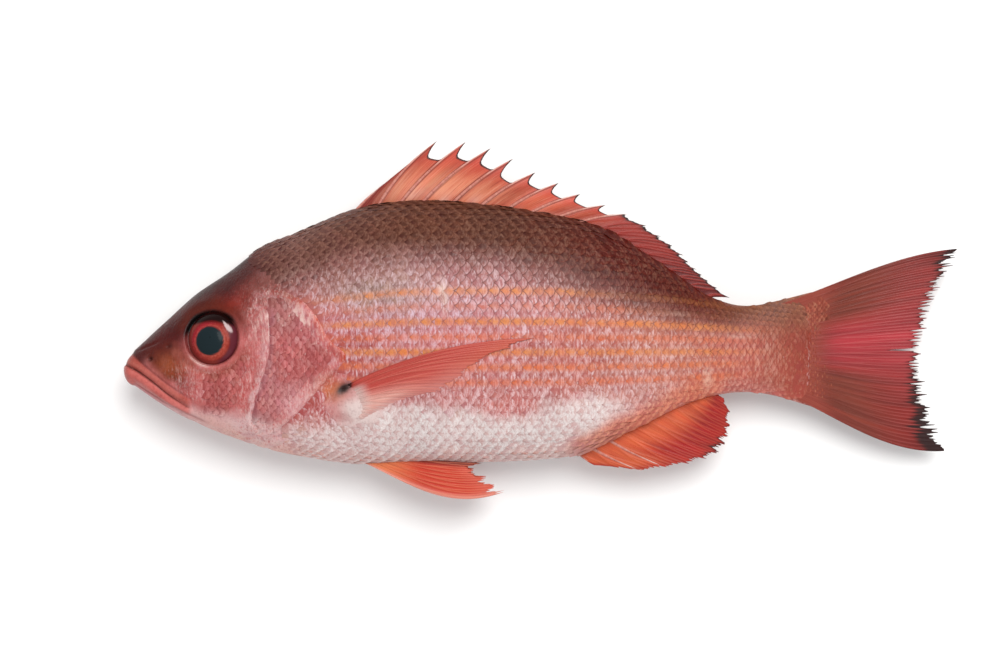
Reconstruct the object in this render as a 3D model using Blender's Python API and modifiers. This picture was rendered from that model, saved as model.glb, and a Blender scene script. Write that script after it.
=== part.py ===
"""A whole raw snapper, lying on its right flank with its left flank up.

Metres, +Z up. The head points to -X and the back to +Y. The origin is under the middle of the
bounding box, on the surface that the fish lies on. Sizes below are in millimetres. The fish is
drawn about its own middle plane, z = 0, and its parent empty then lifts it onto the surface.
"""

import bisect
import math

import bmesh
import bpy
from mathutils import Vector

MM = 0.001

# The body's side view: back and belly lines from the jaw's tip to the root of the tail fin
SNOUT_X = -187.5
SNOUT_Y = -22.5
NOSE_LENGTH = 5.0
BODY_END_X = 121.0
BACK_LINE = [
    (-182.5, -13.5), (-170, -2.8), (-155, 10.5), (-140, 21.0), (-126, 32.0), (-112, 38.5),
    (-85, 48.5), (-65, 52.0), (-45, 52.3), (-18, 49.8), (10, 45.0), (30, 39.0), (45, 30.0),
    (60, 20.0), (72, 11.5), (85, 6.5), (95, 6.0), (105, 8.0), (121, 12.0),
]
BELLY_LINE = [
    (-182.5, -29.5), (-170, -38.0), (-155, -46.0), (-140, -52.0), (-126, -57.0),
    (-112, -60.3), (-85, -64.3), (-60, -63.7), (-20, -63.4), (5, -61.8), (17, -60.0),
    (30, -54.0), (45, -47.0), (60, -39.5), (72, -35.0), (85, -32.7), (95, -32.6),
    (105, -34.3), (121, -39.0),
]
HALF_WIDTH = [
    (-182.5, 6.5), (-170, 11.5), (-155, 15.5), (-140, 18.5), (-126, 21.0), (-112, 23.0),
    (-95, 24.6), (-75, 25.3), (-50, 25.3), (-25, 24.5), (0, 22.3), (25, 18.6), (50, 13.8),
    (70, 9.8), (85, 7.2), (100, 4.8), (112, 3.0), (121, 1.0),
]
BACK_POINTEDNESS = 1.12
BELLY_POINTEDNESS = 0.86

# Rings of the body: close in the head, wider along the trunk
NOSE_RINGS = 4
HEAD_STEP = 4.2
HEAD_END_X = -85.0
TRUNK_STEP = 9.4
AROUND = 34

# How it lies: the middle plane's height, and how far the tail hangs towards the surface
MIDDLE_HEIGHT = 24.7
SAG_START_X = 35.0
TAIL_SAG = 13.0

# Gill cover: its rear edge as x at each height, and how far it stands proud
GILL_EDGE = [
    (-53.5, -134.0), (-51.8, -122.6), (-45.5, -112.7), (-38.3, -105.5), (-30.2, -98.3),
    (-23.4, -91.8), (-16.5, -87.0), (-9.0, -94.5), (0.5, -100.0), (7.2, -106.0), (13.0, -116.0),
]
GILL_RISE = 1.3
GILL_FADE = 16.0
GILL_GROOVE_RADIUS = 0.9
GILL_GROOVE_BEHIND = 1.2
EDGE_BLUR = 2.0

# Cheek plate in front of the gill cover: the rear rim as x at each height
CHEEK_EDGE = [(-47.0, -131.0), (-40.0, -130.5), (-30.0, -127.5), (-15.0, -122.5), (0.0, -121.0)]
CHEEK_RISE = 0.8
CHEEK_FADE = 9.0

# Mouth: from the front of the lips to the corner, then the lips' swell
MOUTH_LINE = [(-184.0, -19.6), (-180.5, -23.5), (-174.0, -28.0), (-167.0, -33.5), (-158.5, -39.0)]
MOUTH_FRONT = (-185.6, -18.8)
MOUTH_GROOVE_RADIUS = 0.8
LIP_RISE = 0.9
LIP_WIDTH = 4.2
FULL_RELIEF_HALF_WIDTH = 6.0

# Eyes
EYE_X = -148.3
EYE_Y = -9.4
EYE_RADIUS = 10.8
EYE_HALF_DEPTH = 7.0
EYE_PROUD = 2.6
EYE_GAP = 0.3

# Fins. A ray is (root x, root y, tip x, tip y). Between two rays the skin is cut back to a
# share of the rays' length, given as (share of the way to the next ray, share of the length).
SPINY_EDGE = ((0.0, 1.0), (0.16, 0.9), (0.45, 0.77), (0.86, 0.7))
SOFT_EDGE = ((0.0, 1.0), (0.5, 0.95))
ROOT_DEPTH = 5.0
RIPPLE_HEIGHT = 0.9
RIPPLE_PER_MM = (0.075, 0.05)
DORSAL_BOW = 0.05
DORSAL_SPINES = [
    (-83.5, -70.9, 60.1), (-76.3, -47.5, 79.4), (-67.3, -34.6, 79.0), (-57.8, -21.6, 77.4),
    (-44.3, -12.4, 72.0), (-32.0, -2.5, 65.8), (-20.5, 9.4, 61.7), (-11.0, 19.1, 56.3),
    (-0.2, 28.6, 51.2), (8.8, 37.6, 46.8),
]
DORSAL_SOFT_RAYS = [
    (17.5, 47.2, 42.0), (22.5, 53.6, 37.2), (28.0, 59.1, 32.9), (33.0, 64.1, 29.0),
    (38.5, 66.4, 25.7), (44.0, 69.0, 22.0), (49.5, 71.8, 19.4), (55.0, 74.6, 16.8),
    (61.0, 78.0, 13.8), (69.0, 83.9, 9.4),
]
ANAL_RAYS = [
    (19.0, 30.0, -64.2), (21.0, 49.3, -66.8), (26.0, 55.6, -64.8), (31.0, 65.5, -63.4),
    (37.0, 73.1, -61.6), (43.0, 79.0, -59.4), (49.0, 81.2, -56.3), (55.0, 83.0, -52.2),
    (61.0, 83.9, -47.3), (67.0, 84.4, -41.9), (73.0, 81.2, -36.4),
]
ANAL_BOW = -0.03
TAIL_RAYS = 17
TAIL_ROOT_X = 103.0
TAIL_ROOT_TOP = 5.5
TAIL_ROOT_BOTTOM = -31.5
TAIL_EDGE = [
    (0.0, 187.4, 30.6), (0.12, 181.5, 22.5), (0.3, 174.0, 8.0), (0.5, 169.0, -11.0),
    (0.68, 169.2, -27.0), (0.85, 172.5, -43.0), (0.94, 176.5, -52.0), (1.0, 181.0, -58.5),
]
TAIL_SLIT_RAY = 8
TAIL_SLIT_SHARE = 0.86
PECTORAL_ROOT = [(-89.0, -30.5), (-87.0, -42.5)]
PECTORAL_BOW = 0.06
PECTORAL_TIPS = [
    (-3.8, -8.6), (-14.0, -13.0), (-27.0, -18.5), (-36.0, -26.0), (-45.0, -32.0),
    (-59.0, -35.0), (-72.0, -41.0), (-79.0, -45.0),
]
PELVIC_BOW = -0.03
PELVIC_SPLAY = (4.0, 7.0)
PELVIC_ROOT = [(-78.0, -61.0), (-71.5, -60.5)]
PELVIC_TIPS = [
    (-17.3, -79.4), (-21.6, -74.6), (-27.0, -70.2), (-34.0, -67.6), (-36.0, -65.2),
]
FIN_ROWS = 6
PECTORAL_ROWS = 8
SPINY_THICKNESS = 2.2
SOFT_THICKNESS = 1.9
TAIL_THICKNESS = 2.6
PELVIC_THICKNESS = 1.8
PECTORAL_THICKNESS = 3.4
PECTORAL_BURY = 0.7
SKIN_THINNESS = 0.5
TIP_THINNESS = 0.5

SIDES = ((1, "left"), (-1, "right"))
CREASE_ANGLE = 40.0
SKIN_COLOUR = (0.62, 0.27, 0.22, 1.0)
EYE_COLOUR = (0.05, 0.02, 0.02, 1.0)


def smooth_line(points):
    """A smooth function through (place, value) points, flat beyond its ends."""
    places = [p[0] for p in points]
    values = [p[1] for p in points]
    last = len(points) - 1
    slopes = []
    for i in range(len(points)):
        before, after = max(i - 1, 0), min(i + 1, last)
        slopes.append((values[after] - values[before]) / (places[after] - places[before]))

    def value(at):
        at = min(max(at, places[0]), places[-1])
        i = min(bisect.bisect_right(places, at) - 1, last - 1)
        span = places[i + 1] - places[i]
        t = (at - places[i]) / span
        start = (1 + 2 * t) * (1 - t) ** 2 * values[i] + t * (1 - t) ** 2 * span * slopes[i]
        end = t * t * (3 - 2 * t) * values[i + 1] - t * t * (1 - t) * span * slopes[i + 1]
        return start + end

    return value


back_line = smooth_line(BACK_LINE)
belly_line = smooth_line(BELLY_LINE)
half_width = smooth_line(HALF_WIDTH)
gill_edge = smooth_line(GILL_EDGE)
cheek_edge = smooth_line(CHEEK_EDGE)
mouth_line = smooth_line(MOUTH_LINE)
tail_edge_x = smooth_line([(share, x) for share, x, _ in TAIL_EDGE])
tail_edge_y = smooth_line([(share, y) for share, _, y in TAIL_EDGE])


def mix(a, b, share):
    return a + (b - a) * share


def ease(t):
    t = min(max(t, 0.0), 1.0)
    return t * t * (3 - 2 * t)


def sag(x):
    """How far the middle plane hangs at x, as the tail of a fresh fish droops."""
    t = max(0.0, (x - SAG_START_X) / (-SNOUT_X - SAG_START_X))
    return -TAIL_SAG * t ** 1.6


def section(x):
    """(back y, belly y, half width) of the body at x, closed to a round nose at the jaw's tip."""
    nose_end = SNOUT_X + NOSE_LENGTH
    at = max(x, nose_end)
    back, belly, half = back_line(at), belly_line(at), half_width(at)
    if x < nose_end:
        shut = math.sqrt(max(0.0, 1 - ((nose_end - x) / NOSE_LENGTH) ** 2))
        back = mix(SNOUT_Y, back, shut)
        belly = mix(SNOUT_Y, belly, shut)
        half *= shut
    return back, belly, half


def ahead_of(edge, x, y):
    """Distance in front of an edge that is given as x at each height."""
    slope = edge(y + 0.5) - edge(y - 0.5)
    return (edge(y) - x) / math.hypot(1.0, slope)


def plate_rise(edge, x, y, rise, fade):
    """Height of a bony plate that ends at an edge and sinks into the head in front of it."""
    ahead = ahead_of(edge, x, y)
    return rise * ease(ahead / EDGE_BLUR + 0.5) * math.exp(-max(ahead, 0.0) / fade)


def relief(x, y):
    """How far the plates of the head and the lips stand proud of the plain body."""
    height = 0.0
    if GILL_EDGE[0][0] < y < GILL_EDGE[-1][0]:
        height += plate_rise(gill_edge, x, y, GILL_RISE, GILL_FADE)
    if CHEEK_EDGE[0][0] < y < CHEEK_EDGE[-1][0]:
        height += plate_rise(cheek_edge, x, y, CHEEK_RISE, CHEEK_FADE)
    if x < MOUTH_LINE[-1][0] + LIP_WIDTH:
        away = y - mouth_line(x)
        height += LIP_RISE * math.exp(-((away / LIP_WIDTH) ** 2))
    return height


def body_point(x, turn):
    """A point of the body. Turn is 0 at the left flank's widest line and 90 degrees at the back."""
    back, belly, half = section(x)
    middle = (back + belly) / 2
    reach = (back - belly) / 2
    power = BACK_POINTEDNESS if math.sin(turn) > 0 else BELLY_POINTEDNESS
    y = middle + reach * math.sin(turn)
    z = half * math.copysign(abs(math.cos(turn)) ** power, math.cos(turn))
    out = Vector((0.0, half * math.sin(turn), reach * math.cos(turn)))
    if out.length > 1e-6:
        out.normalize()
    rise = relief(x, y) * min(1.0, half / FULL_RELIEF_HALF_WIDTH)
    return Vector((x, y, z)) + out * rise


def flank_z(x, y):
    """Height of the left flank above the middle plane at a place in the side view."""
    back, belly, _ = section(x)
    height = (2 * y - back - belly) / (back - belly)
    turn = math.asin(min(max(height, -0.999), 0.999))
    return body_point(x, turn).z


def ring_places():
    """The x of every ring of the body, from the jaw's tip to the tail."""
    places = []
    for i in range(1, NOSE_RINGS + 1):
        places.append(SNOUT_X + NOSE_LENGTH * (1 - math.cos(math.pi / 2 * i / NOSE_RINGS)))
    head_start = places[-1]
    head_count = round((HEAD_END_X - head_start) / HEAD_STEP)
    for i in range(1, head_count + 1):
        places.append(mix(head_start, HEAD_END_X, i / head_count))
    trunk_count = round((BODY_END_X - HEAD_END_X) / TRUNK_STEP)
    for i in range(1, trunk_count + 1):
        places.append(mix(HEAD_END_X, BODY_END_X, i / trunk_count))
    return places


def object_from(bm, name, collection):
    mesh = bpy.data.meshes.new(name)
    bm.to_mesh(mesh)
    bm.free()
    made = bpy.data.objects.new(name, mesh)
    collection.objects.link(made)
    return made


def make_body(collection):
    """The trunk and head: a sphere whose rings are moved onto the body's sections."""
    places = ring_places()
    rings = len(places) + 1
    bm = bmesh.new()
    bmesh.ops.create_uvsphere(bm, u_segments=AROUND, v_segments=rings, radius=1.0)
    for v in bm.verts:
        ring = round(math.acos(max(-1.0, min(1.0, v.co.z))) / math.pi * rings)
        if ring == 0:
            v.co = Vector((SNOUT_X, SNOUT_Y, 0.0))
        elif ring == rings:
            back, belly, _ = section(BODY_END_X)
            v.co = Vector((BODY_END_X + 1.0, (back + belly) / 2, 0.0))
        else:
            v.co = body_point(places[ring - 1], math.atan2(v.co.y, v.co.x))
    bmesh.ops.recalc_face_normals(bm, faces=bm.faces)
    return object_from(bm, "body", collection)


def ray_point(ray, share, bow):
    """A point along a ray, bowed to its front side."""
    root_x, root_y, tip_x, tip_y = ray
    along_x, along_y = tip_x - root_x, tip_y - root_y
    lift = bow * 4 * share * (1 - share)
    return root_x + along_x * share - along_y * lift, root_y + along_y * share + along_x * lift


def fin_columns(rays, edges):
    """(ray index, share of the way to the next ray, share of the length, weight) for each column."""
    columns = []
    for i in range(len(rays) - 1):
        for between, reach in edges[i]:
            columns.append((i, between, reach, 1.0 if between == 0.0 else SKIN_THINNESS))
    columns.append((len(rays) - 1, 0.0, 1.0, 1.0))
    return columns


def make_fin(name, collection, rays, edges, thickness, depth_at, bow=0.0, rows=FIN_ROWS):
    """A fin: an open sheet of rays and skin, which Solidify makes thick at the rays and roots."""
    columns = fin_columns(rays, edges)
    bm = bmesh.new()
    bmesh.ops.create_grid(bm, x_segments=len(columns) - 1, y_segments=rows, size=0.5)
    weights = []
    for v in bm.verts:
        i, between, reach, weight = columns[round((v.co.x + 0.5) * (len(columns) - 1))]
        share = (v.co.y + 0.5) * reach
        x, y = ray_point(rays[i], share, bow)
        if between > 0.0:
            next_x, next_y = ray_point(rays[i + 1], share, bow)
            x, y = mix(x, next_x, between), mix(y, next_y, between)
        weight *= mix(1.0, TIP_THINNESS, share)
        v.co = Vector((x, y, depth_at(x, y, share, weight)))
        weights.append(weight)
    fin = object_from(bm, name, collection)
    group = fin.vertex_groups.new(name="thickness")
    for index, weight in enumerate(weights):
        group.add([index], weight, "REPLACE")
    solid = fin.modifiers.new("Solidify", "SOLIDIFY")
    solid.thickness = thickness
    solid.offset = 0.0
    solid.vertex_group = group.name
    return fin


def rays_from_line(line, spines, inwards):
    """Rays whose roots lie under a body line, sunk into the body."""
    return [(x, line(x) + inwards * ROOT_DEPTH, tip_x, tip_y) for x, tip_x, tip_y in spines]


def fan_rays(root, tips):
    """Rays that spread from a short root line to the given tips."""
    rays = []
    for i, (tip_x, tip_y) in enumerate(tips):
        share = i / (len(tips) - 1)
        root_x, root_y = mix(root[0][0], root[1][0], share), mix(root[0][1], root[1][1], share)
        rays.append((root_x, root_y, tip_x, tip_y))
    return rays


def ripple(x, y, share, weight):
    """The gentle wave of a fin that stands in the middle plane."""
    return RIPPLE_HEIGHT * share * math.sin(x * RIPPLE_PER_MM[0] + y * RIPPLE_PER_MM[1])


def make_dorsal_fin(collection):
    rays = rays_from_line(back_line, DORSAL_SPINES + DORSAL_SOFT_RAYS, -1)
    edges = [SPINY_EDGE] * (len(DORSAL_SPINES) - 1) + [SOFT_EDGE] * len(DORSAL_SOFT_RAYS)
    return make_fin("dorsal_fin", collection, rays, edges, SPINY_THICKNESS, ripple, DORSAL_BOW)


def make_anal_fin(collection):
    rays = rays_from_line(belly_line, ANAL_RAYS, 1)
    edges = [SOFT_EDGE] * (len(rays) - 1)
    return make_fin("anal_fin", collection, rays, edges, SOFT_THICKNESS, ripple, ANAL_BOW)


def make_tail_fin(collection):
    rays = []
    for i in range(TAIL_RAYS):
        share = i / (TAIL_RAYS - 1)
        root_y = mix(TAIL_ROOT_TOP, TAIL_ROOT_BOTTOM, share)
        rays.append((TAIL_ROOT_X, root_y, tail_edge_x(share), tail_edge_y(share)))
    edges = [SOFT_EDGE] * (TAIL_RAYS - 1)
    edges[TAIL_SLIT_RAY] = ((0.0, 1.0), (0.5, TAIL_SLIT_SHARE))
    return make_fin("tail_fin", collection, rays, edges, TAIL_THICKNESS, ripple)


def make_pectoral_fin(collection, side, name):
    """A side fin that lies flat on its flank, side 1 for the left and -1 for the right."""
    rays = fan_rays(PECTORAL_ROOT, PECTORAL_TIPS)
    edges = [SOFT_EDGE] * (len(rays) - 1)

    def on_flank(x, y, share, weight):
        return side * (flank_z(x, y) + weight * PECTORAL_THICKNESS / 2 - PECTORAL_BURY)

    return make_fin(
        name, collection, rays, edges, PECTORAL_THICKNESS, on_flank, PECTORAL_BOW, PECTORAL_ROWS
    )


def make_pelvic_fin(collection, side, name):
    """A belly fin. The two spread a little from the middle plane."""
    rays = fan_rays(PELVIC_ROOT, PELVIC_TIPS)
    edges = [SOFT_EDGE] * (len(rays) - 1)

    def splayed(x, y, share, weight):
        return side * mix(*PELVIC_SPLAY, share)

    return make_fin(name, collection, rays, edges, PELVIC_THICKNESS, splayed, PELVIC_BOW)


def tube_mesh(name, points, radius, collection):
    """A closed square tube through points, as a mesh that can cut."""
    curve = bpy.data.curves.new(name, "CURVE")
    curve.dimensions = "3D"
    curve.bevel_depth = radius
    curve.bevel_resolution = 0
    curve.use_fill_caps = True
    spline = curve.splines.new("POLY")
    spline.points.add(len(points) - 1)
    for target, point in zip(spline.points, points):
        target.co = (*point, 1.0)
    guide = bpy.data.objects.new(name + "_guide", curve)
    collection.objects.link(guide)
    tube = evaluated_copy(guide, name, collection)
    bm = bmesh.new()
    bm.from_mesh(tube.data)
    bmesh.ops.remove_doubles(bm, verts=bm.verts, dist=0.01)
    bmesh.ops.recalc_face_normals(bm, faces=bm.faces)
    bm.to_mesh(tube.data)
    bm.free()
    bpy.data.objects.remove(guide)
    return tube


def evaluated_copy(source, name, collection):
    """A plain mesh object of what a curve or a modified mesh looks like."""
    bpy.context.view_layer.update()
    graph = bpy.context.evaluated_depsgraph_get()
    mesh = bpy.data.meshes.new_from_object(source.evaluated_get(graph))
    mesh.name = name
    made = bpy.data.objects.new(name, mesh)
    made.matrix_world = source.matrix_world
    collection.objects.link(made)
    return made


def surface_place(x, y, side):
    return Vector((x, y, side * flank_z(x, y)))


def make_mouth_cutter(collection):
    """The slit between the lips, round the front of the snout from corner to corner."""
    left = []
    steps = 8
    for i in range(steps + 1):
        x = mix(MOUTH_LINE[-1][0], MOUTH_LINE[0][0], i / steps)
        left.append(surface_place(x, mouth_line(x), 1))
    front = [Vector((*MOUTH_FRONT, 0.0))]
    right = [Vector((p.x, p.y, -p.z)) for p in reversed(left)]
    return tube_mesh("mouth_cutter", left + front + right, MOUTH_GROOVE_RADIUS, collection)


def make_gill_cutter(collection, side, name):
    """The gill opening, a groove along the gill cover's rear edge."""
    points = []
    steps = 18
    for i in range(steps + 1):
        y = mix(GILL_EDGE[0][0], GILL_EDGE[-1][0], i / steps)
        points.append(surface_place(gill_edge(y) + GILL_GROOVE_BEHIND, y, side))
    return tube_mesh(name, points, GILL_GROOVE_RADIUS, collection)


def eye_frame(side):
    """The eye's middle and the way it looks, square to the head's surface."""
    step = 4.0
    slope_x = (flank_z(EYE_X + step, EYE_Y) - flank_z(EYE_X - step, EYE_Y)) / (2 * step)
    slope_y = (flank_z(EYE_X, EYE_Y + step) - flank_z(EYE_X, EYE_Y - step)) / (2 * step)
    look = Vector((-slope_x, -slope_y, 1.0)).normalized()
    surface = Vector((EYE_X, EYE_Y, flank_z(EYE_X, EYE_Y)))
    middle = surface + look * (EYE_PROUD - EYE_HALF_DEPTH)
    if side < 0:
        middle.z, look.z = -middle.z, -look.z
    return middle, look


def make_eye(name, collection, side, gap):
    """A flattened ball, grown by a gap where it is the cutter of its socket."""
    bm = bmesh.new()
    bmesh.ops.create_uvsphere(bm, u_segments=24, v_segments=12, radius=1.0)
    for v in bm.verts:
        v.co.x *= EYE_RADIUS + gap
        v.co.y *= EYE_RADIUS + gap
        v.co.z *= EYE_HALF_DEPTH + gap
    eye = object_from(bm, name, collection)
    eye.location, look = eye_frame(side)
    eye.rotation_euler = look.to_track_quat("Z", "Y").to_euler()
    eye.data.shade_smooth()
    return eye


def boolean(target, operation, operand, name):
    cut = target.modifiers.new(name, "BOOLEAN")
    cut.operation = operation
    cut.operand_type = "COLLECTION"
    cut.collection = operand


def sag_and_flatten(fish):
    """Lets the tail hang, then cuts the flat spot that the flank makes on the surface."""
    bm = bmesh.new()
    bm.from_mesh(fish.data)
    for v in bm.verts:
        v.co.z += sag(v.co.x)
    level = -MIDDLE_HEIGHT
    cut = bmesh.ops.bisect_plane(
        bm, geom=bm.verts[:] + bm.edges[:] + bm.faces[:], dist=1e-4,
        plane_co=(0, 0, level), plane_no=(0, 0, -1), clear_outer=True,
    )
    rim = [e for e in cut["geom_cut"] if isinstance(e, bmesh.types.BMEdge)]
    bmesh.ops.holes_fill(bm, edges=rim, sides=0)
    bmesh.ops.triangulate(bm, faces=bm.faces)
    bm.to_mesh(fish.data)
    bm.free()


def material(name, colour, roughness):
    made = bpy.data.materials.new(name)
    made.use_nodes = True
    shader = made.node_tree.nodes["Principled BSDF"]
    shader.inputs["Base Color"].default_value = colour
    shader.inputs["Roughness"].default_value = roughness
    made.diffuse_color = colour
    return made


def clear_scene():
    for obj in list(bpy.data.objects):
        bpy.data.objects.remove(obj)


def new_collection(name):
    made = bpy.data.collections.new(name)
    bpy.context.scene.collection.children.link(made)
    return made


def scale_to_metres(obj):
    obj.data.transform(((MM, 0, 0, 0), (0, MM, 0, 0), (0, 0, MM, 0), (0, 0, 0, 1)))
    obj.location *= MM


def main():
    clear_scene()
    fish_parts = new_collection("snapper")
    fins = new_collection("fins")
    cutters = new_collection("cutters")

    body = make_body(fish_parts)
    make_dorsal_fin(fins)
    make_anal_fin(fins)
    make_tail_fin(fins)
    for side, word in SIDES:
        make_pectoral_fin(fins, side, "pectoral_fin_" + word)
        make_pelvic_fin(fins, side, "pelvic_fin_" + word)
        make_gill_cutter(cutters, side, "gill_cutter_" + word)
        make_eye("socket_cutter_" + word, cutters, side, EYE_GAP)
    make_mouth_cutter(cutters)

    boolean(body, "UNION", fins, "Join fins")
    boolean(body, "DIFFERENCE", cutters, "Cut mouth, gills and sockets")
    fish = evaluated_copy(body, "fish", fish_parts)
    for helper in [body, *fins.objects, *cutters.objects]:
        bpy.data.objects.remove(helper)
    bpy.data.collections.remove(fins)
    bpy.data.collections.remove(cutters)
    sag_and_flatten(fish)

    rest = bpy.data.objects.new("rest_height", None)
    fish_parts.objects.link(rest)
    rest.location.z = MIDDLE_HEIGHT * MM
    skin = material("wet_skin", SKIN_COLOUR, 0.35)
    eye_skin = material("eye", EYE_COLOUR, 0.08)
    eyes = [make_eye("eye_" + word, fish_parts, side, 0.0) for side, word in SIDES]
    for node in [fish, *eyes]:
        scale_to_metres(node)
        node.parent = rest
        node.data.materials.clear()
        node.data.materials.append(skin if node is fish else eye_skin)
    fish.data.set_sharp_from_angle(angle=math.radians(CREASE_ANGLE))


main()
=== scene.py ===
"""The looks of a whole raw snapper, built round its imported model.

Lengths inside the shape functions are in millimetres, drawn about the fish's own middle plane as
in the part's source. to_frame() lays them down in the frame, in metres. A tone is a linear colour
at each point, and a share is a number from 0 to 1.
"""

import itertools
import math

import bpy
import numpy as np
from bpy.props import FloatProperty, FloatVectorProperty, PointerProperty
from bpy.types import Operator, Panel, PropertyGroup
from mathutils import Matrix, Vector


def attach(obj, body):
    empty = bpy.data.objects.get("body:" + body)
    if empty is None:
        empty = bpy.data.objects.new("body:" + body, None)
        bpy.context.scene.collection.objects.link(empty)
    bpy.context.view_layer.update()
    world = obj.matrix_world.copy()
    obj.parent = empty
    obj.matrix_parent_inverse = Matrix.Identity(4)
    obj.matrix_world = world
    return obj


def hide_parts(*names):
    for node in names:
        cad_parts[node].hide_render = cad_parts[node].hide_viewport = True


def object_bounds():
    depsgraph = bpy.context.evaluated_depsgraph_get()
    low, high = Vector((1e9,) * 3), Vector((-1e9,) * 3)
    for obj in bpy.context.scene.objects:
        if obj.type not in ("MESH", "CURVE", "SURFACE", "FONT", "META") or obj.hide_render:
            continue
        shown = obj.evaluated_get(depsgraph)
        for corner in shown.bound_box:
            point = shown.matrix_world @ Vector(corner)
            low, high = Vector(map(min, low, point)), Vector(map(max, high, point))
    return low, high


bl_info = {
    "name": "Whole Snapper",
    "version": (1, 0, 0),
    "blender": (4, 5, 0),
    "location": "View3D > Sidebar > Snapper",
    "description": "A wet raw snapper with real scales, rays and spines",
    "category": "Object",
}

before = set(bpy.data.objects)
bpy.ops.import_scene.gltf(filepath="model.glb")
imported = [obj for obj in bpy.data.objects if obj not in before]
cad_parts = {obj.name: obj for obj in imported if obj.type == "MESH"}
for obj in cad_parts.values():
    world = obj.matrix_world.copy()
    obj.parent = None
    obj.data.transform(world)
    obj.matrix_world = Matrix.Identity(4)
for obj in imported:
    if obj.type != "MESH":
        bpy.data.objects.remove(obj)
CAD_LOW, CAD_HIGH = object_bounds()

BODY = "root"
FISH_NODE = "fish"
SIDES = ((1, "left"), (-1, "right"))

# The body, within half a millimetre of the part's own: y, or half the width, at each x
SNOUT_X = -187.5
SNOUT_Y = -22.5
NOSE_LENGTH = 5.0
TAIL_TIP_X = 187.41
BODY_END_X = 121.0
BACK_LINE = [
    (-182.5, -13.5), (-170, -2.8), (-155, 10.5), (-140, 21.0), (-126, 32.0), (-112, 38.5),
    (-85, 48.5), (-65, 52.0), (-45, 52.3), (-18, 49.8), (10, 45.0), (30, 39.0), (45, 30.0),
    (60, 20.0), (72, 11.5), (85, 6.5), (95, 6.0), (105, 8.0), (121, 12.0),
]
BELLY_LINE = [
    (-182.5, -29.5), (-170, -38.0), (-155, -46.0), (-140, -52.0), (-126, -57.0),
    (-112, -60.3), (-85, -64.3), (-60, -63.7), (-20, -63.4), (5, -61.8), (17, -60.0),
    (30, -54.0), (45, -47.0), (60, -39.5), (72, -35.0), (85, -32.7), (95, -32.6),
    (105, -34.3), (121, -39.0),
]
HALF_WIDTH = [
    (-182.5, 6.5), (-170, 11.5), (-155, 15.5), (-140, 18.5), (-126, 21.0), (-112, 23.0),
    (-95, 24.6), (-75, 25.3), (-50, 25.3), (-25, 24.5), (0, 22.3), (25, 18.6), (50, 13.8),
    (70, 9.8), (85, 7.2), (100, 4.8), (112, 2.7), (121, 0.6),
]
BACK_POINTEDNESS = 1.12
BELLY_POINTEDNESS = 0.86
MIDDLE_HEIGHT = 24.7
SAG_START_X = 35.0
TAIL_SAG = 13.0
FLAT_SOFTNESS = 0.12

# The camera's place over the fish, and the point in the frame that both lights aim at
CAMERA_X = -19.2
CAMERA_Y = -6.4
LIGHTS_AIM = (0.0, 0.0, 0.02)
FLOOR_REACH = 4.0

# How brightly the stage lights a level surface, and what wet skin reflects of it
LIGHT = 1.22
GLOSS = 0.02

# Metres in the frame for one millimetre of the drawing
MM = (CAD_HIGH.x - CAD_LOW.x) / (TAIL_TIP_X - SNOUT_X)

# Lines on the head, as x at each height y
GILL_EDGE = [
    (-53.5, -134.0), (-51.8, -122.6), (-45.5, -112.7), (-38.3, -105.5), (-30.2, -98.3),
    (-23.4, -91.8), (-16.5, -87.0), (-9.0, -94.5), (0.5, -100.0), (7.2, -106.0), (13.0, -116.0),
]
CHEEK_EDGE = [
    (-50.0, -127.0), (-46.0, -129.5), (-40.0, -128.5), (-30.0, -125.5), (-15.0, -121.0), (0.0, -121.0),
]
# Where the scaled skin starts, behind the head
SCALED_FROM = [
    (-66.0, -104.0), (-58.0, -110.0), (-53.0, -112.0), (-45.5, -108.7), (-38.3, -101.5),
    (-30.2, -94.3), (-23.4, -87.8), (-16.5, -83.5), (-9.0, -90.5), (0.5, -96.0), (7.2, -103.0),
    (13.0, -112.0), (24.0, -124.0), (36.0, -130.0), (50.0, -126.0),
]
# Lines on the head, as y at each x
MOUTH_LINE = [(-186.4, -20.4), (-180.5, -23.5), (-174.0, -28.0), (-167.0, -33.5), (-158.0, -39.6)]
JAW_LINE = [(-181.5, -29.2), (-172.0, -35.0), (-163.0, -40.0), (-150.0, -46.0)]
MAXILLA_LINE = [(-184.0, -15.5), (-176.0, -22.0), (-167.0, -29.0), (-156.6, -36.0)]

FRONT_NOSTRIL = (-174.4, -18.0)
REAR_NOSTRIL = (-166.0, -12.4)

# Eye: the middle of the opening, and the pupil's middle from there
EYE_X = -146.4
EYE_Y = -8.6
EYE_RADIUS = 12.3
EYE_HALF_DEPTH = 7.2
EYE_PROUD = 2.6
PUPIL_OFFSET = (-0.5, -1.4)
PUPIL_RADIUS = 6.4
IRIS_RADIUS = 8.9
LENS_RISE = 0.25

# Colour borders on the body, as y at each x
BACK_BORDER = [
    (-186, -16), (-168, -11), (-154, -4), (-131, 3), (-109, 13), (-82, 20.5), (-41, 24), (-10, 20.5),
    (20, 10.0), (48, 1.5), (71, -3.0), (98, -4.0), (121, -3.0),
]
# Small wounds and creases in the scales: x, y, half length, half height and how pale
SCARS = [
    (-44.5, 12.5, 1.5, 4.0, 0.8), (-43.0, 6.0, 1.3, 5.5, 0.6), (73.3, -26.6, 1.8, 6.0, 0.55),
    (88.0, -8.0, 5.0, 1.2, 0.4), (60.0, 2.0, 4.0, 1.2, 0.3),
]
BELLY_BORDER = [
    (-186, -31), (-163, -38), (-140, -44), (-120, -48), (-100, -46), (-64, -39), (-29, -41.5),
    (-12, -43.5), (1, -37.4), (26, -32.9), (50, -39.0), (70, -36.0), (98, -32), (121, -36),
]

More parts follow.
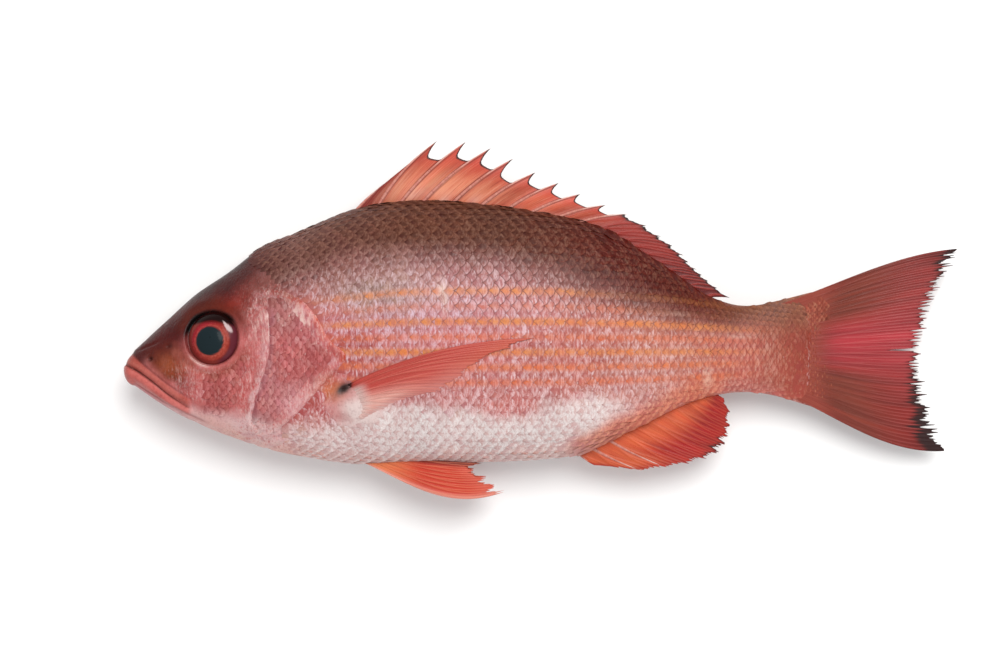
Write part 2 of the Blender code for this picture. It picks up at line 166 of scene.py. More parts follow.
# Fins, near the part's own. Spines and soft rays are root x, tip x and tip y.
ROOT_DEPTH = 5.0
DORSAL_SPINES = [
    (-88.5, -71.5, 60.1), (-76.3, -47.5, 79.4), (-67.3, -34.6, 79.0), (-57.8, -23.4, 76.2),
    (-44.3, -13.4, 71.5), (-32.0, -3.4, 65.4), (-20.5, 7.0, 60.7), (-11.0, 16.6, 55.7),
    (-0.2, 28.0, 50.8), (8.8, 37.6, 46.8),
]
DORSAL_SOFT_RAYS = [
    (17.5, 46.6, 41.6), (22.5, 53.1, 36.8), (28.0, 58.7, 32.5), (33.0, 63.4, 28.3),
    (38.5, 66.0, 25.2), (44.0, 69.0, 22.0), (49.5, 71.8, 19.4), (55.0, 74.6, 16.8),
    (61.0, 78.0, 13.8), (69.0, 83.9, 9.4),
]
ANAL_RAYS = [
    (11.5, 22.6, -65.4), (17.0, 44.4, -68.0), (25.0, 55.0, -66.4), (31.0, 65.1, -64.7),
    (37.0, 73.0, -62.6), (43.0, 79.2, -60.0), (49.0, 81.6, -56.5), (55.0, 83.2, -52.3),
    (61.0, 83.8, -47.3), (67.0, 83.8, -41.9), (73.0, 81.0, -35.6),
]
TAIL_RAYS = 17
TAIL_ROOT_X = 103.0
TAIL_ROOT_TOP = 5.5
TAIL_ROOT_BOTTOM = -31.5
# Where the rays of the tail would meet
TAIL_FAN_X = 98.0
# The free edge, as share of the way down, x and y
TAIL_EDGE = [
    (0.0, 187.4, 31.7), (0.12, 182.0, 22.5), (0.3, 175.0, 8.0), (0.5, 170.0, -11.0),
    (0.68, 170.4, -27.0), (0.85, 173.8, -43.0), (0.94, 178.0, -52.6), (1.0, 181.8, -59.8),
]
TAIL_SLIT = 8.5
MIDDLE_RAY = 8.0
# How much a ray bends, as (number of the ray, share of its length)
DORSAL_BOWS = [(0, 0.03), (1, 0.065), (2, 0.05)]
TAIL_BOWS = [(0, 0.033), (3, 0.02), (8, 0.0), (13, -0.034), (16, -0.062)]
PELVIC_BOWS = [(0, -0.115), (1, -0.08), (3, -0.03), (4, 0.0)]
# Places from one dorsal ray to the next, close together by the spines
DORSAL_GAPS = [
    0, 0.025, 0.05, 0.075, 0.1, 0.15, 0.22, 0.32, 0.42, 0.52, 0.62, 0.72, 0.81, 0.88, 0.915, 0.94, 0.97,
]
# Thickness of the anal fin's spines, as a share of a dorsal spine's
ANAL_GIRTHS = (0.6, 1.0, 0.9)
PECTORAL_ROOT = [(-89.0, -30.5), (-87.0, -42.5)]
PECTORAL_TIPS = [
    (-3.8, -8.6), (-14.0, -13.0), (-27.0, -18.5), (-36.0, -26.0), (-45.0, -32.0),
    (-59.0, -35.0), (-72.0, -41.0), (-79.0, -45.0),
]
PELVIC_ROOT = [(-83.8, -63.0), (-72.0, -61.5)]
PELVIC_TIPS = [
    (-17.1, -77.0), (-19.0, -74.2), (-24.0, -70.8), (-29.8, -67.6), (-27.0, -64.4),
]


def seen(red, green, blue):
    """The linear base colour that looks like this on screen, each 0 to 255, under the stage's light."""
    linear = [((c / 255 + 0.055) / 1.055) ** 2.4 if c > 10 else c / 3295 for c in (red, green, blue)]
    return tuple(max(0.002, c - GLOSS) / LIGHT for c in linear)


def colour_property(name, description, *screen):
    return FloatVectorProperty(
        name=name, description=description, default=seen(*screen), size=3, min=0.0, max=1.0,
        subtype="COLOR",
    )


def length_property(name, description, millimetres):
    return FloatProperty(
        name=name, description=description, default=millimetres * MM, min=0.0, unit="LENGTH",
    )


class SnapperColours(PropertyGroup):
    forehead: colour_property("Forehead", "Bare skin over the eyes", 98, 40, 30)
    nape: colour_property("Nape", "Scaled skin behind the head", 133, 92, 84)
    back: colour_property("Back", "Scales under the spiny fin", 112, 71, 58)
    hind_back: colour_property("Hind back", "Scales under the soft fin", 104, 46, 14)
    cheek: colour_property("Cheek", "Bare skin of cheek and gill cover", 194, 107, 105)
    flank: colour_property("Flank", "Silver pink scales of the flank", 194, 134, 132)
    hind_flank: colour_property("Hind flank", "Scales over the anal fin", 190, 128, 114)
    peduncle: colour_property("Peduncle", "Scales in front of the tail", 188, 110, 100)
    tail_root: colour_property("Tail root", "Small scales on the root of the tail fin", 158, 86, 70)
    jaw: colour_property("Jaw", "Lips and lower jaw", 200, 126, 126)
    throat: colour_property("Throat", "Skin under the gill cover", 226, 190, 188)
    belly: colour_property("Belly", "White scales of the belly", 220, 202, 200)
    vent: colour_property("Vent", "Flush round the anal fin", 222, 118, 82)
    stripe: colour_property("Stripe", "Orange spots that form the stripes", 222, 112, 70)
    # Also the colour of the painted shade in the nostrils
    dark: colour_property("Dark", "Edges of scales and fins", 58, 28, 24)


class SnapperScales(PropertyGroup):
    length: length_property("Length", "Length of one scale, most of it covered", 7.6)
    width: length_property("Width", "Height of one scale on the flank", 7.0)
    lift: length_property("Lift", "How far the rear edge stands out", 0.42)
    head_length: length_property("Length on head", "Length of a gill cover's scale", 5.2)
    head_width: length_property("Width on head", "Height of a gill cover's scale", 4.2)
    head_lift: length_property("Lift on head", "Lift of a gill cover's scale", 0.55)


class SnapperFins(PropertyGroup):
    skin: length_property("Skin", "Thickness of the skin between rays", 0.3)
    spine: length_property("Spine", "Thickness of a spine at its root", 1.7)


class SnapperStage(PropertyGroup):
    camera_height: FloatProperty(
        name="Camera height", description="Camera above the floor", default=1.268, unit="LENGTH"
    )
    key_power: FloatProperty(
        name="Key light", description="Power of the large light on the back's side", default=16.2,
        unit="POWER",
    )
    fill_power: FloatProperty(
        name="Fill light", description="Power of the light on the belly's side", default=2.6,
        unit="POWER",
    )
    sky: FloatProperty(name="Sky", description="Brightness of the white room", default=0.64)


def mix(a, b, share):
    return a + (b - a) * share


def ease(t):
    t = np.clip(t, 0.0, 1.0)
    return t * t * (3 - 2 * t)


def bump_at(distance, width):
    """A smooth bump, 1 at distance 0."""
    return np.exp(-((distance / width) ** 2))


def patch_at(x, y, at_x, at_y, length, height):
    """A smooth round patch in the side view, 1 in its middle, by its half length and half height."""
    return bump_at(np.hypot((x - at_x) / length, (y - at_y) / height), 1.0)


def axil_patch(x, y, at_x, at_y, length, height):
    """A patch that slants up to the tail, as the dark spot over the pectoral fin's root does."""
    return patch_at(x, y - 0.45 * (x - at_x), at_x, at_y, length, height)


def uneven(x, y, size, seed):
    """Smooth random values from -1 to 1 over the side view, in patches of about the given size."""
    cells = 97
    table = np.random.default_rng(seed).uniform(-1.0, 1.0, (cells, cells))
    across, up = x / size + 1000.0, y / size + 1000.0
    i, j = np.floor(across).astype(int), np.floor(up).astype(int)
    right, above = ease(across - i), ease(up - j)
    i, j = i % cells, j % cells
    k, m = (i + 1) % cells, (j + 1) % cells
    return mix(mix(table[i, j], table[k, j], right), mix(table[i, m], table[k, m], right), above)


def smooth_line(points):
    """A smooth function of arrays through (place, value) points, flat beyond its ends."""
    places, values = np.array(points, float).T
    slopes = np.empty_like(values)
    slopes[1:-1] = (values[2:] - values[:-2]) / (places[2:] - places[:-2])
    slopes[0] = (values[1] - values[0]) / (places[1] - places[0])
    slopes[-1] = (values[-1] - values[-2]) / (places[-1] - places[-2])

    def value(at):
        at = np.clip(at, places[0], places[-1])
        i = np.clip(np.searchsorted(places, at, side="right") - 1, 0, len(places) - 2)
        span = places[i + 1] - places[i]
        t = (at - places[i]) / span
        start = (1 + 2 * t) * (1 - t) ** 2 * values[i] + t * (1 - t) ** 2 * span * slopes[i]
        end = t * t * (3 - 2 * t) * values[i + 1] - t * t * (1 - t) * span * slopes[i + 1]
        return start + end

    return value


back_line = smooth_line(BACK_LINE)
belly_line = smooth_line(BELLY_LINE)
half_width = smooth_line(HALF_WIDTH)
gill_edge = smooth_line(GILL_EDGE)
cheek_edge = smooth_line(CHEEK_EDGE)
scaled_from = smooth_line(SCALED_FROM)
mouth_line = smooth_line(MOUTH_LINE)
jaw_line = smooth_line(JAW_LINE)
maxilla_line = smooth_line(MAXILLA_LINE)
back_border = smooth_line(BACK_BORDER)
belly_border = smooth_line(BELLY_BORDER)
tail_edge_x = smooth_line([(share, x) for share, x, _ in TAIL_EDGE])
tail_edge_y = smooth_line([(share, y) for share, _, y in TAIL_EDGE])


def to_frame(points):
    """Drawing millimetres to metres in the frame: the tail hangs, and the right flank is pressed flat."""
    points = np.asarray(points, float)
    x, y, z = points[..., 0], points[..., 1], points[..., 2]
    hang = np.maximum(0.0, (x - SAG_START_X) / (-SNOUT_X - SAG_START_X))
    z = z + MIDDLE_HEIGHT - TAIL_SAG * hang ** 1.6
    pressed = FLAT_SOFTNESS * np.logaddexp(0.0, (np.minimum(z, 1.0) + 1.6) / 2.6 / FLAT_SOFTNESS)
    z = np.where(z < 1.0, pressed, z)
    return np.stack([x, y, z], axis=-1) * MM


def section(x):
    """(back y, belly y, half width) at each x. The snout slants to the upper lip over the rounder jaw."""
    nose_end = SNOUT_X + NOSE_LENGTH
    at = np.maximum(x, nose_end)
    ahead = np.maximum(0.0, nose_end - x) / NOSE_LENGTH
    shut = np.sqrt(np.maximum(0.0, 1 - ahead ** 2))
    profile = back_line(at) + 0.45 * bump_at(at + 160.0, 22.0) - 0.6 * bump_at(at - nose_end, 7.0)
    back = mix(SNOUT_Y, profile, shut * (1 - 0.62 * ahead ** 0.8))
    belly = mix(SNOUT_Y, belly_line(at) - 0.5, shut)
    return back, belly, half_width(at) * shut


def ahead_of(edge, x, y):
    """Distance in front of an edge that is given as x at each height."""
    slope = edge(y + 0.5) - edge(y - 0.5)
    return (edge(y) - x) / np.hypot(1.0, slope)


def within(value, low, high, blur):
    """1 between low and high, eased out to 0 over blur."""
    return ease((value - low) / blur + 0.5) * ease((high - value) / blur + 0.5)


def gill_cover_relief(x, y):
    ahead = ahead_of(gill_edge, x, y)
    there = within(y, -52.0, 13.0, 6.0)
    plate = 0.6 * ease(ahead / 1.6 + 0.5) * np.exp(-np.maximum(ahead, 0.0) / 14.0)
    groove = -0.5 * bump_at(ahead + 1.0, 0.9)
    return there * (plate + groove)


def cheek_relief(x, y):
    ahead = ahead_of(cheek_edge, x, y)
    there = within(y, -50.0, 2.0, 8.0)
    plate = 0.55 * ease(ahead / 1.4 + 0.5) * np.exp(-np.maximum(ahead, 0.0) / 9.0)
    ridge = 0.25 * bump_at(ahead - 0.9, 0.7) * within(y, -46.0, -18.0, 8.0)
    groove = -0.45 * bump_at(ahead + 0.9, 0.8)
    second = -0.35 * bump_at(ahead - 3.6, 0.8) * within(y, -44.0, -6.0, 8.0)
    return there * (plate + ridge + groove + second)


def mouth_relief(x, y):
    gap = y - mouth_line(x)
    there = ease((-157.0 - x) / 3.0 + 0.5)
    lips = 0.6 * bump_at(gap - 2.6, 1.9) + 1.0 * bump_at(gap + 2.9, 2.1)
    slit = -1.2 * bump_at(gap, 0.55) * mix(0.45, 1.0, ease((-166.0 - x) / 10.0))
    jaw = -0.45 * bump_at(y - jaw_line(x), 0.8) * within(x, -182.0, -150.0, 5.0)
    upper = -0.4 * bump_at(y - maxilla_line(x), 0.65) * within(x, -179.0, -156.5, 3.0)
    rear = -0.5 * bump_at(x + 156.0 + 0.25 * (y + 38.0), 0.8) * within(y, -40.5, -35.0, 1.5)
    return there * (lips + slit) + jaw + upper + rear


def eye_distance(x, y):
    return np.hypot(x - EYE_X, y - EYE_Y)


def eye_relief(x, y):
    """The raised rim of the socket, and the hollow that the eye lies in."""
    away = eye_distance(x, y)
    rim = 0.3 * bump_at(away - EYE_RADIUS - 0.9, 1.2)
    hollow = -2.1 * ease((EYE_RADIUS + 0.2 - away) / 1.2)
    brow = 0.7 * bump_at(away - EYE_RADIUS - 3.7, 2.6) * ease((y - EYE_Y) / 14.0)
    pouch = -0.3 * bump_at(away - EYE_RADIUS - 4.0, 1.2) * ease((EYE_Y - y) / 12.0)
    return rim + hollow + brow + pouch


def snout_relief(x, y):
    front_nostril = -1.3 * patch_at(x, y, *FRONT_NOSTRIL, 0.9, 0.9)
    nostril_rim = 0.35 * bump_at(np.hypot(x - FRONT_NOSTRIL[0], y - FRONT_NOSTRIL[1]) - 1.7, 0.8)
    rear_nostril = -1.0 * patch_at(x, y, *REAR_NOSTRIL, 1.0, 0.7)
    crease = -0.5 * bump_at(y + 13.5 - 0.38 * (x + 179.0), 0.7) * within(x, -180.0, -171.0, 4.0)
    return front_nostril + nostril_rim + rear_nostril + crease


def throat_relief(x, y):
    """The branchial membranes under the gill cover, and the fleshy root of the pectoral fin."""
    folds = 0.0
    for offset in (0.0, 4.2, 8.0):
        line = -53.5 - offset + 0.30 * np.maximum(x + 134.0, 0.0) + 0.36 * np.maximum(-134.0 - x, 0.0)
        folds = folds - 0.45 * bump_at(y - line, 0.8)
    root = 1.7 * patch_at(x, y, -80.0, -39.0, 8.5, 8.0)
    pit = -1.2 * patch_at(x, y, -88.6, -30.8, 2.6, 2.0)
    return folds * within(x, -158.0, -112.0, 8.0) + root + pit


def relief(x, y):
    """How far the plates of the head and the lips stand proud of the plain body."""
    nape = -0.9 * bump_at(x + 108.0, 17.0) * ease((y - back_line(x) + 12.0) / 9.0)
    total = gill_cover_relief(x, y) + cheek_relief(x, y) + mouth_relief(x, y) + nape
    return total + eye_relief(x, y) + snout_relief(x, y) + throat_relief(x, y)


def body_point(x, turn):
    """Points of the body. Turn is 0 at the left flank's widest line and 90 degrees at the back."""
    back, belly, half = section(x)
    middle, reach = (back + belly) / 2, (back - belly) / 2
    sine, cosine = np.sin(turn), np.cos(turn)
    power = np.where(sine > 0, BACK_POINTEDNESS, BELLY_POINTEDNESS)
    y = middle + reach * sine
    z = half * np.sign(cosine) * np.abs(cosine) ** power
    out_y, out_z = half * sine, reach * cosine
    length = np.maximum(np.hypot(out_y, out_z), 1e-6)
    rise = relief(x, y) * np.minimum(1.0, half / 6.0)
    return np.stack(np.broadcast_arrays(x, y + out_y / length * rise, z + out_z / length * rise), axis=-1)


def turn_at(x, y):
    """The turn of the left flank at a place in the side view."""
    back, belly, _ = section(x)
    return np.arcsin(np.clip((2 * y - back - belly) / (back - belly), -0.999, 0.999))


def flank_z(x, y):
    return body_point(x, turn_at(x, y))[..., 2]


def ramp_along(x, stops):
    """Colours along x through (x, colour) stops."""
    places = [place for place, _ in stops]
    return np.stack([np.interp(x, places, [c[i] for _, c in stops]) for i in range(3)], axis=-1)


def blend_tone(tone, colour, share):
    return mix(tone, np.asarray(colour, float), np.clip(share, 0.0, 1.0)[..., None])


def painted(tone, *layers):
    """A tone under layers of colour, laid on in turn: each a colour and its share."""
    tone = np.asarray(tone, float)
    for colour, share in layers:
        tone = blend_tone(tone, colour, share)
    return tone


def keel_share(x, y):
    """How near a place is to the belly's edge, from 0 to 1."""
    return ease((belly_line(x) + 7.0 - y) / 6.0) * within(x, -150.0, 20.0, 30.0)


def vent_share(x, y):
    """How orange the skin is round the root of the anal fin, from 0 to 1."""
    return ease((x - 4.0) / 14.0) * ease((86.0 - x) / 14.0) * ease((belly_line(x) + 13.5 - y) / 9.0)


def dun_share(x, y):
    """How much of the dull patch behind the nape lies at a place."""
    return patch_at(x, y, -74.0, 12.0, 28.0, 11.0)


def body_tone(x, y):
    """The colour of the skin in the side view, before its small pattern."""
    c = bpy.context.scene.snapper_colours
    y = y + 2.2 * uneven(x, y, 10.0, 31) + 1.3 * uneven(x, y, 3.6, 32)
    upper = ramp_along(x, [
        (-180, seen(94, 50, 42)), (-140, c.forehead), (-112, c.nape), (-60, c.back), (-20, c.back),
        (30, c.hind_back), (70, c.hind_back), (96, seen(142, 94, 74)), (121, seen(166, 110, 90)),
    ])
    middle = ramp_along(x, [
        (-185, c.jaw), (-160, c.cheek), (-90, c.cheek), (-68, c.flank), (-20, c.flank),
        (20, seen(186, 116, 106)), (50, c.hind_flank), (90, c.peduncle), (108, c.tail_root),
        (121, seen(148, 70, 58)),
    ])
    lower = ramp_along(x, [
        (-185, seen(216, 148, 152)), (-160, seen(228, 178, 178)), (-130, c.throat), (-95, c.throat),
        (-70, c.belly), (20, c.belly), (45, seen(220, 164, 156)), (90, seen(214, 142, 134)),
        (121, seen(170, 80, 64)),
    ])
    spread = mix(12.0, 28.0, ease((x + 130.0) / 30.0)) * mix(1.0, 0.6, ease((x - 40.0) / 40.0))
    tone = mix(middle, upper, ease((y - back_border(x)) / spread + 0.5)[..., None])
    tone = mix(tone, lower, ease((belly_border(x) - y) / 9.0 + 0.5)[..., None])
    return painted(
        tone,
        # Lilac gloss, flush round the vent and dull patch behind the nape
        (seen(196, 152, 170), 0.4 * patch_at(x, y, -62.0, 2.0, 48.0, 16.0)),
        (c.vent, 0.7 * vent_share(x, y)),
        (seen(166, 138, 128), dun_share(x, y)),
        # Ruddy patch behind the gill cover, then the keel
        (seen(168, 84, 78), 0.75 * patch_at(x, y, -84.0, -14.0, 14.0, 11.0)),
        (seen(238, 180, 164), 0.75 * keel_share(x, y)),
        # Pink and pale patches on the lower flank
        (seen(212, 130, 122), 0.6 * patch_at(x, y, -14.0, -40.0, 13.0, 6.0)),
        (seen(216, 168, 164), 0.5 * patch_at(x, y, 36.0, -31.0, 24.0, 9.0)),
        (seen(212, 108, 96), 0.5 * patch_at(x, y, -32.0, -13.0, 30.0, 10.0)),
    )


def head_tone(x, y):
    """The colour of the bare skin: the body's colour, and the marks of the head."""
    dark = bpy.context.scene.snapper_colours.dark
    soft_x = x + 1.2 * uneven(x, y, 5.0, 21) + 0.7 * uneven(x, y, 1.8, 22)
    soft_y = y + 1.2 * uneven(x, y, 5.0, 23) + 0.7 * uneven(x, y, 1.8, 24)

    def patch(*place):
        return patch_at(soft_x, soft_y, *place)

    depth = 0.75 * (back_line(soft_x) - soft_y)
    front = ease((-98.0 - x) / 24.0)
    snout = ease((-158.0 - soft_x) / 14.0 + 0.5) * ease((soft_y - maxilla_line(x)) / 7.0 + 0.1)
    away, soft_away, above = eye_distance(x, y), eye_distance(soft_x, soft_y), y - EYE_Y
    brow = ease((13.6 - 0.7 * away - 0.3 * soft_away) / 1.6) * ease((above - 0.25 * (x - EYE_X) - 0.5) / 6.0)
    fold = bump_at(away - 12.8, 0.4) * ease((-above - 6.5) / 4.0) * ease((EYE_X - x) / 4.0)
    over_mouth, over_jaw, under_maxilla = y - mouth_line(x), y - jaw_line(x), maxilla_line(x) - y
    lips = ease((-157.0 - x) / 3.0 + 0.5) * ease(under_maxilla / 1.5 + 0.5) * ease(over_jaw / 1.5 + 0.5)
    lip_tone = blend_tone(np.array(seen(212, 112, 104)), seen(184, 92, 82), ease(over_mouth + 0.5))
    behind = -ahead_of(gill_edge, soft_x, soft_y)
    beyond = ease((behind - 0.5) / 2.0) * within(y, -56.0, -26.0, 8.0) * ease((-96.0 - x) / 8.0)
    before = ahead_of(cheek_edge, soft_x, soft_y)
    pit = axil_patch(x, y, -87.9, -30.9, 3.3, 2.3)
    return painted(
        body_tone(x, y),
        # Between the eyes, the profile's dark line, its crest, the snout and an orange spot on it
        (seen(142, 52, 44), 0.85 * patch(-142.0, 6.0, 24.0, 10.0)),
        (seen(76, 20, 16), 0.95 * ease((13.5 - depth) / 9.0) * front),
        (seen(52, 26, 22), 0.5 * ease((3.0 - depth) / 3.0) * front),
        (seen(86, 20, 6), 0.97 * snout),
        (seen(176, 94, 60), 0.6 * patch(-165.0, -21.0, 8.0, 6.0)),
        # Nape, a brown patch on it and the pale top of the cheek
        (seen(134, 84, 78), 0.75 * patch(-116.0, 14.0, 12.0, 12.0)),
        (seen(152, 100, 72), 0.7 * patch(-107.0, 12.5, 5.0, 4.5)),
        (seen(206, 150, 146), 0.5 * patch(-118.0, 1.0, 9.0, 6.0)),
        # Olive over the eye; the brow, dark skin with painted shade under the socket's upper rim; the lid,
        # painted shade in the socket's hollow; the pale fold before it and two rings under it
        (seen(100, 50, 32), 0.6 * bump_at(soft_away - 14.5, 3.4) * ease((above + 1.0) / 8.0)),
        (seen(42, 22, 10), brow),
        (seen(96, 40, 38), 0.7 * ease((12.6 - away) / 0.8) * (1 - brow)),
        (seen(236, 214, 206), 0.8 * fold),
        (seen(172, 98, 84), 0.6 * bump_at(soft_away - 16.0, 2.4) * ease(-above / 10.0)),
        (seen(130, 64, 60), 0.3 * bump_at(soft_away - 15.4, 0.8) * ease((-above - 5.0) / 6.0)),
        # Lips, their painted shine, and the slit between them and the creases of the jaws darkened by painted
        # shade
        (lip_tone, 0.8 * lips),
        (seen(204, 120, 108), 0.45 * bump_at(over_mouth - 2.4, 0.8) * ease((-158.0 - x) / 3.0 + 0.5)),
        (seen(66, 24, 24), 0.85 * bump_at(over_mouth, 0.5) * ease((-162.0 - x) / 7.0 + 0.5)),
        (seen(92, 36, 36), 0.5 * bump_at(under_maxilla + 0.3, 0.55) * within(x, -182.0, -160.0, 5.0)),
        (seen(130, 56, 58), 0.45 * bump_at(over_jaw, 0.6) * within(x, -182.0, -150.0, 5.0)),
        # Nostrils, darkened as painted shade in their pits
        (dark, 0.8 * patch_at(x, y, *FRONT_NOSTRIL, 1.1, 1.1)),
        (dark, 0.4 * patch_at(x, y, *REAR_NOSTRIL, 0.8 / 0.7, 0.8)),
        # The gill cover's rear edge: shoulder, flap and cleft, the cleft a painted shadow in the groove behind
        # the flap
        (seen(206, 84, 52), 0.8 * within(behind, -1.5, 5.0, 5.0) * within(y, -20.0, 9.0, 8.0)),
        (seen(228, 192, 186), 0.45 * bump_at(behind + 1.6, 1.6) * within(y, -50.0, -24.0, 6.0)),
        (seen(140, 62, 60), 0.4 * bump_at(behind - 0.8, 0.8) * within(y, -50.0, -18.0, 6.0)),
        # The cheek plate's rear rim: ridge, and the cleft behind it as a painted shadow
        (seen(230, 204, 206), 0.6 * bump_at(before - 0.9, 0.9) * within(y, -47.0, -22.0, 8.0)),
        (seen(140, 84, 104), 0.5 * bump_at(before + 0.9, 0.9) * within(y, -46.0, 2.0, 8.0)),
        # Pale lower cover, channel and foot of the plates, and the skin under them
        (seen(220, 164, 166), 0.7 * patch(-111.0, -37.0, 11.0, 9.0)),
        (seen(200, 142, 142), 0.5 * patch(-122.0, -20.0, 5.0, 18.0)),
        (seen(230, 206, 204), 0.65 * patch(-130.0, -46.5, 9.0, 4.0)),
        (seen(228, 200, 198), 0.7 * beyond),
        # Glow before the pectoral fin, the dark pit over its root, and the fleshy root
        (seen(206, 116, 70), 0.9 * patch(-93.5, -31.5, 5.0, 4.5)),
        (seen(56, 28, 16), 1.5 * pit),
        (seen(228, 208, 204), np.minimum(1.3 * patch(-79.0, -40.5, 11.0, 8.0) * (1 - pit), 0.95)),
    )


def smooth_object(name, mesh):
    mesh.shade_smooth()
    made = bpy.data.objects.new(name, mesh)
    bpy.context.scene.collection.objects.link(made)
    return made


def new_mesh_object(name, vertices, faces, edges=()):
    mesh = bpy.data.meshes.new(name)
    faces = faces if isinstance(faces, list) else faces.tolist()
    mesh.from_pydata(vertices.reshape(-1, 3).tolist(), edges, faces)
    return smooth_object(name, mesh)


def add_values(obj, **values):
    """Stores arrays on an object's points: colours for tone, root, mark and pale, else vectors or numbers."""
    for name, array in values.items():
        array = np.asarray(array, np.float32)
        if name in ("tone", "root", "mark", "pale"):
            array = np.concatenate([array.reshape(-1, 3), np.ones((array.size // 3, 1), np.float32)], 1)
            obj.data.attributes.new(name, "FLOAT_COLOR", "POINT").data.foreach_set("color", array.ravel())
        elif array.ndim > 1 and array.shape[-1] == 3:
            obj.data.attributes.new(name, "FLOAT_VECTOR", "POINT").data.foreach_set("vector", array.ravel())
        else:
            obj.data.attributes.new(name, "FLOAT", "POINT").data.foreach_set("value", array.ravel())


def grid_faces(rows, columns, closed=False):
    """Quads of a grid of points, row by row. Closed joins each row's end to its start."""
    wide = columns if closed else columns - 1
    row, column = np.meshgrid(np.arange(rows - 1), np.arange(wide), indexing="ij")
    after = (column + 1) % columns
    faces = np.stack(
        [row * columns + column, row * columns + after, (row + 1) * columns + after,
         (row + 1) * columns + column], axis=-1,
    )
    return faces.reshape(-1, 4)


def sheet_solid(name, upper, lower):
    """A closed thin solid between two grids of points, the upper one facing out."""
    rows, columns = upper.shape[:2]
    count = rows * columns
    top = grid_faces(rows, columns)
    ring = np.concatenate([
        np.arange(columns), np.arange(1, rows) * columns + columns - 1,
        (rows - 1) * columns + np.arange(columns - 2, -1, -1), np.arange(rows - 2, 0, -1) * columns,
    ])
    after = np.roll(ring, -1)
    rim = np.stack([after, ring, ring + count, after + count], axis=-1)
    faces = np.concatenate([top, top[:, ::-1] + count, rim])
    made = new_mesh_object(name, np.concatenate([upper.reshape(-1, 3), lower.reshape(-1, 3)]), faces)
    turn_outwards(made)
    return made


def turn_outwards(obj):
    """Turns every face out if the closed mesh is inside out."""
    mesh = obj.data
    points = np.empty(len(mesh.vertices) * 3)
    mesh.vertices.foreach_get("co", points)
    mesh.calc_loop_triangles()
    corners = np.empty(len(mesh.loop_triangles) * 3, np.int32)
    mesh.loop_triangles.foreach_get("vertices", corners)
    if np.linalg.det(points.reshape(-1, 3)[corners.reshape(-1, 3)]).sum() < 0:
        mesh.flip_normals()


def turns_round(count):
    return np.arange(count) * 2 * math.pi / count


def closed_rings(name, rings, ends):
    """A closed mesh of rings of points, shut by one point at each end. Returns it with its points."""
    rows, around = rings.shape[:2]
    count = rows * around
    first = np.arange(around)
    after = (first + 1) % around
    last = count - around
    front = np.stack([after, first, np.full(around, count)], axis=-1)
    rear = np.stack([last + first, last + after, np.full(around, count + 1)], axis=-1)
    faces = grid_faces(rows, around, closed=True).tolist() + front.tolist() + rear.tolist()
    points = np.concatenate([rings.reshape(-1, 3), ends])
    made = new_mesh_object(name, to_frame(points), faces)
    turn_outwards(made)
    return made, points


# The stretch of a pattern that is the same along all axes
EVEN = (1.0, 1.0, 1.0)


def add_node(tree, kind, links=None, **settings):
    """A node with its settings, and its inputs joined to sockets or set to values."""
    made = tree.nodes.new(kind)
    for key, value in settings.items():
        setattr(made, key, value)
    for key, value in (links or {}).items():
        socket = made.inputs[key]
        if isinstance(value, bpy.types.NodeSocket):
            tree.links.new(value, socket)
        else:
            socket.default_value = value
    return made


def node_value(tree, kind, links=None, **settings):
    """The first output of a new node."""
    return add_node(tree, kind, links, **settings).outputs[0]


def shader_attribute(tree, name, output="Fac"):
    return add_node(tree, "ShaderNodeAttribute", attribute_name=name).outputs[output]


def maths(tree, operation, a, b=0.0):
    return node_value(tree, "ShaderNodeMath", {0: a, 1: b}, operation=operation)


def product(tree, *factors):
    result = factors[0]
    for factor in factors[1:]:
        result = maths(tree, "MULTIPLY", result, factor)
    return result


def mix_colour(tree, share, a, b, blend="MIX"):
    a, b = ((*c, 1.0) if isinstance(c, tuple) else c for c in (a, b))
    return add_node(
        tree, "ShaderNodeMix", {0: share, 6: a, 7: b}, data_type="RGBA", blend_type=blend,
        clamp_factor=True,
    ).outputs[2]


def layered(tree, tone, *layers):
    """A tone under layers of colour, laid on in turn: each a share, a colour and how it blends."""
    for share, colour, *blend in layers:
        tone = mix_colour(tree, share, tone, colour, *blend)
    return tone


def steps(tree, value, low, high, out_low=0.0, out_high=1.0):
    """Value eased from low to high into out_low to out_high."""
    links = {0: value, 1: low, 2: high, 3: out_low, 4: out_high}
    return node_value(tree, "ShaderNodeMapRange", links, interpolation_type="SMOOTHSTEP")


def noise(tree, stretch, scale, detail, roughness, place=None):
    """Noise over object coordinates or another place, stretched to be finer or coarser along an axis."""
    if place is None:
        place = add_node(tree, "ShaderNodeTexCoord").outputs["Object"]
    vector = node_value(tree, "ShaderNodeMapping", {"Vector": place, "Scale": stretch})
    links = {"Vector": vector, "Scale": scale, "Detail": detail, "Roughness": roughness}
    return add_node(tree, "ShaderNodeTexNoise", links).outputs["Fac"]


def new_material(name, roughness, coat, coat_roughness, specular):
    """A Principled material. Returns it with its tree and shader, ready for colour and bump."""
    made = bpy.data.materials.new(name)
    made.use_nodes = True
    shader = made.node_tree.nodes["Principled BSDF"]
    values = {
        "Roughness": roughness, "Coat Weight": coat, "Coat Roughness": coat_roughness,
        "Specular IOR Level": specular,
    }
    for key, value in values.items():
        shader.inputs[key].default_value = value
    return made, made.node_tree, shader


def join_shader(tree, shader, tone, height, strength, distance, rough):
    """Joins colour, fine relief and roughness to a wet skin's shader."""
    relief = {"Height": height, "Strength": strength, "Distance": distance}
    normal = node_value(tree, "ShaderNodeBump", relief)
    for name, socket in (("Base Color", tone), ("Normal", normal), ("Roughness", rough)):
        tree.links.new(socket, shader.inputs[name])


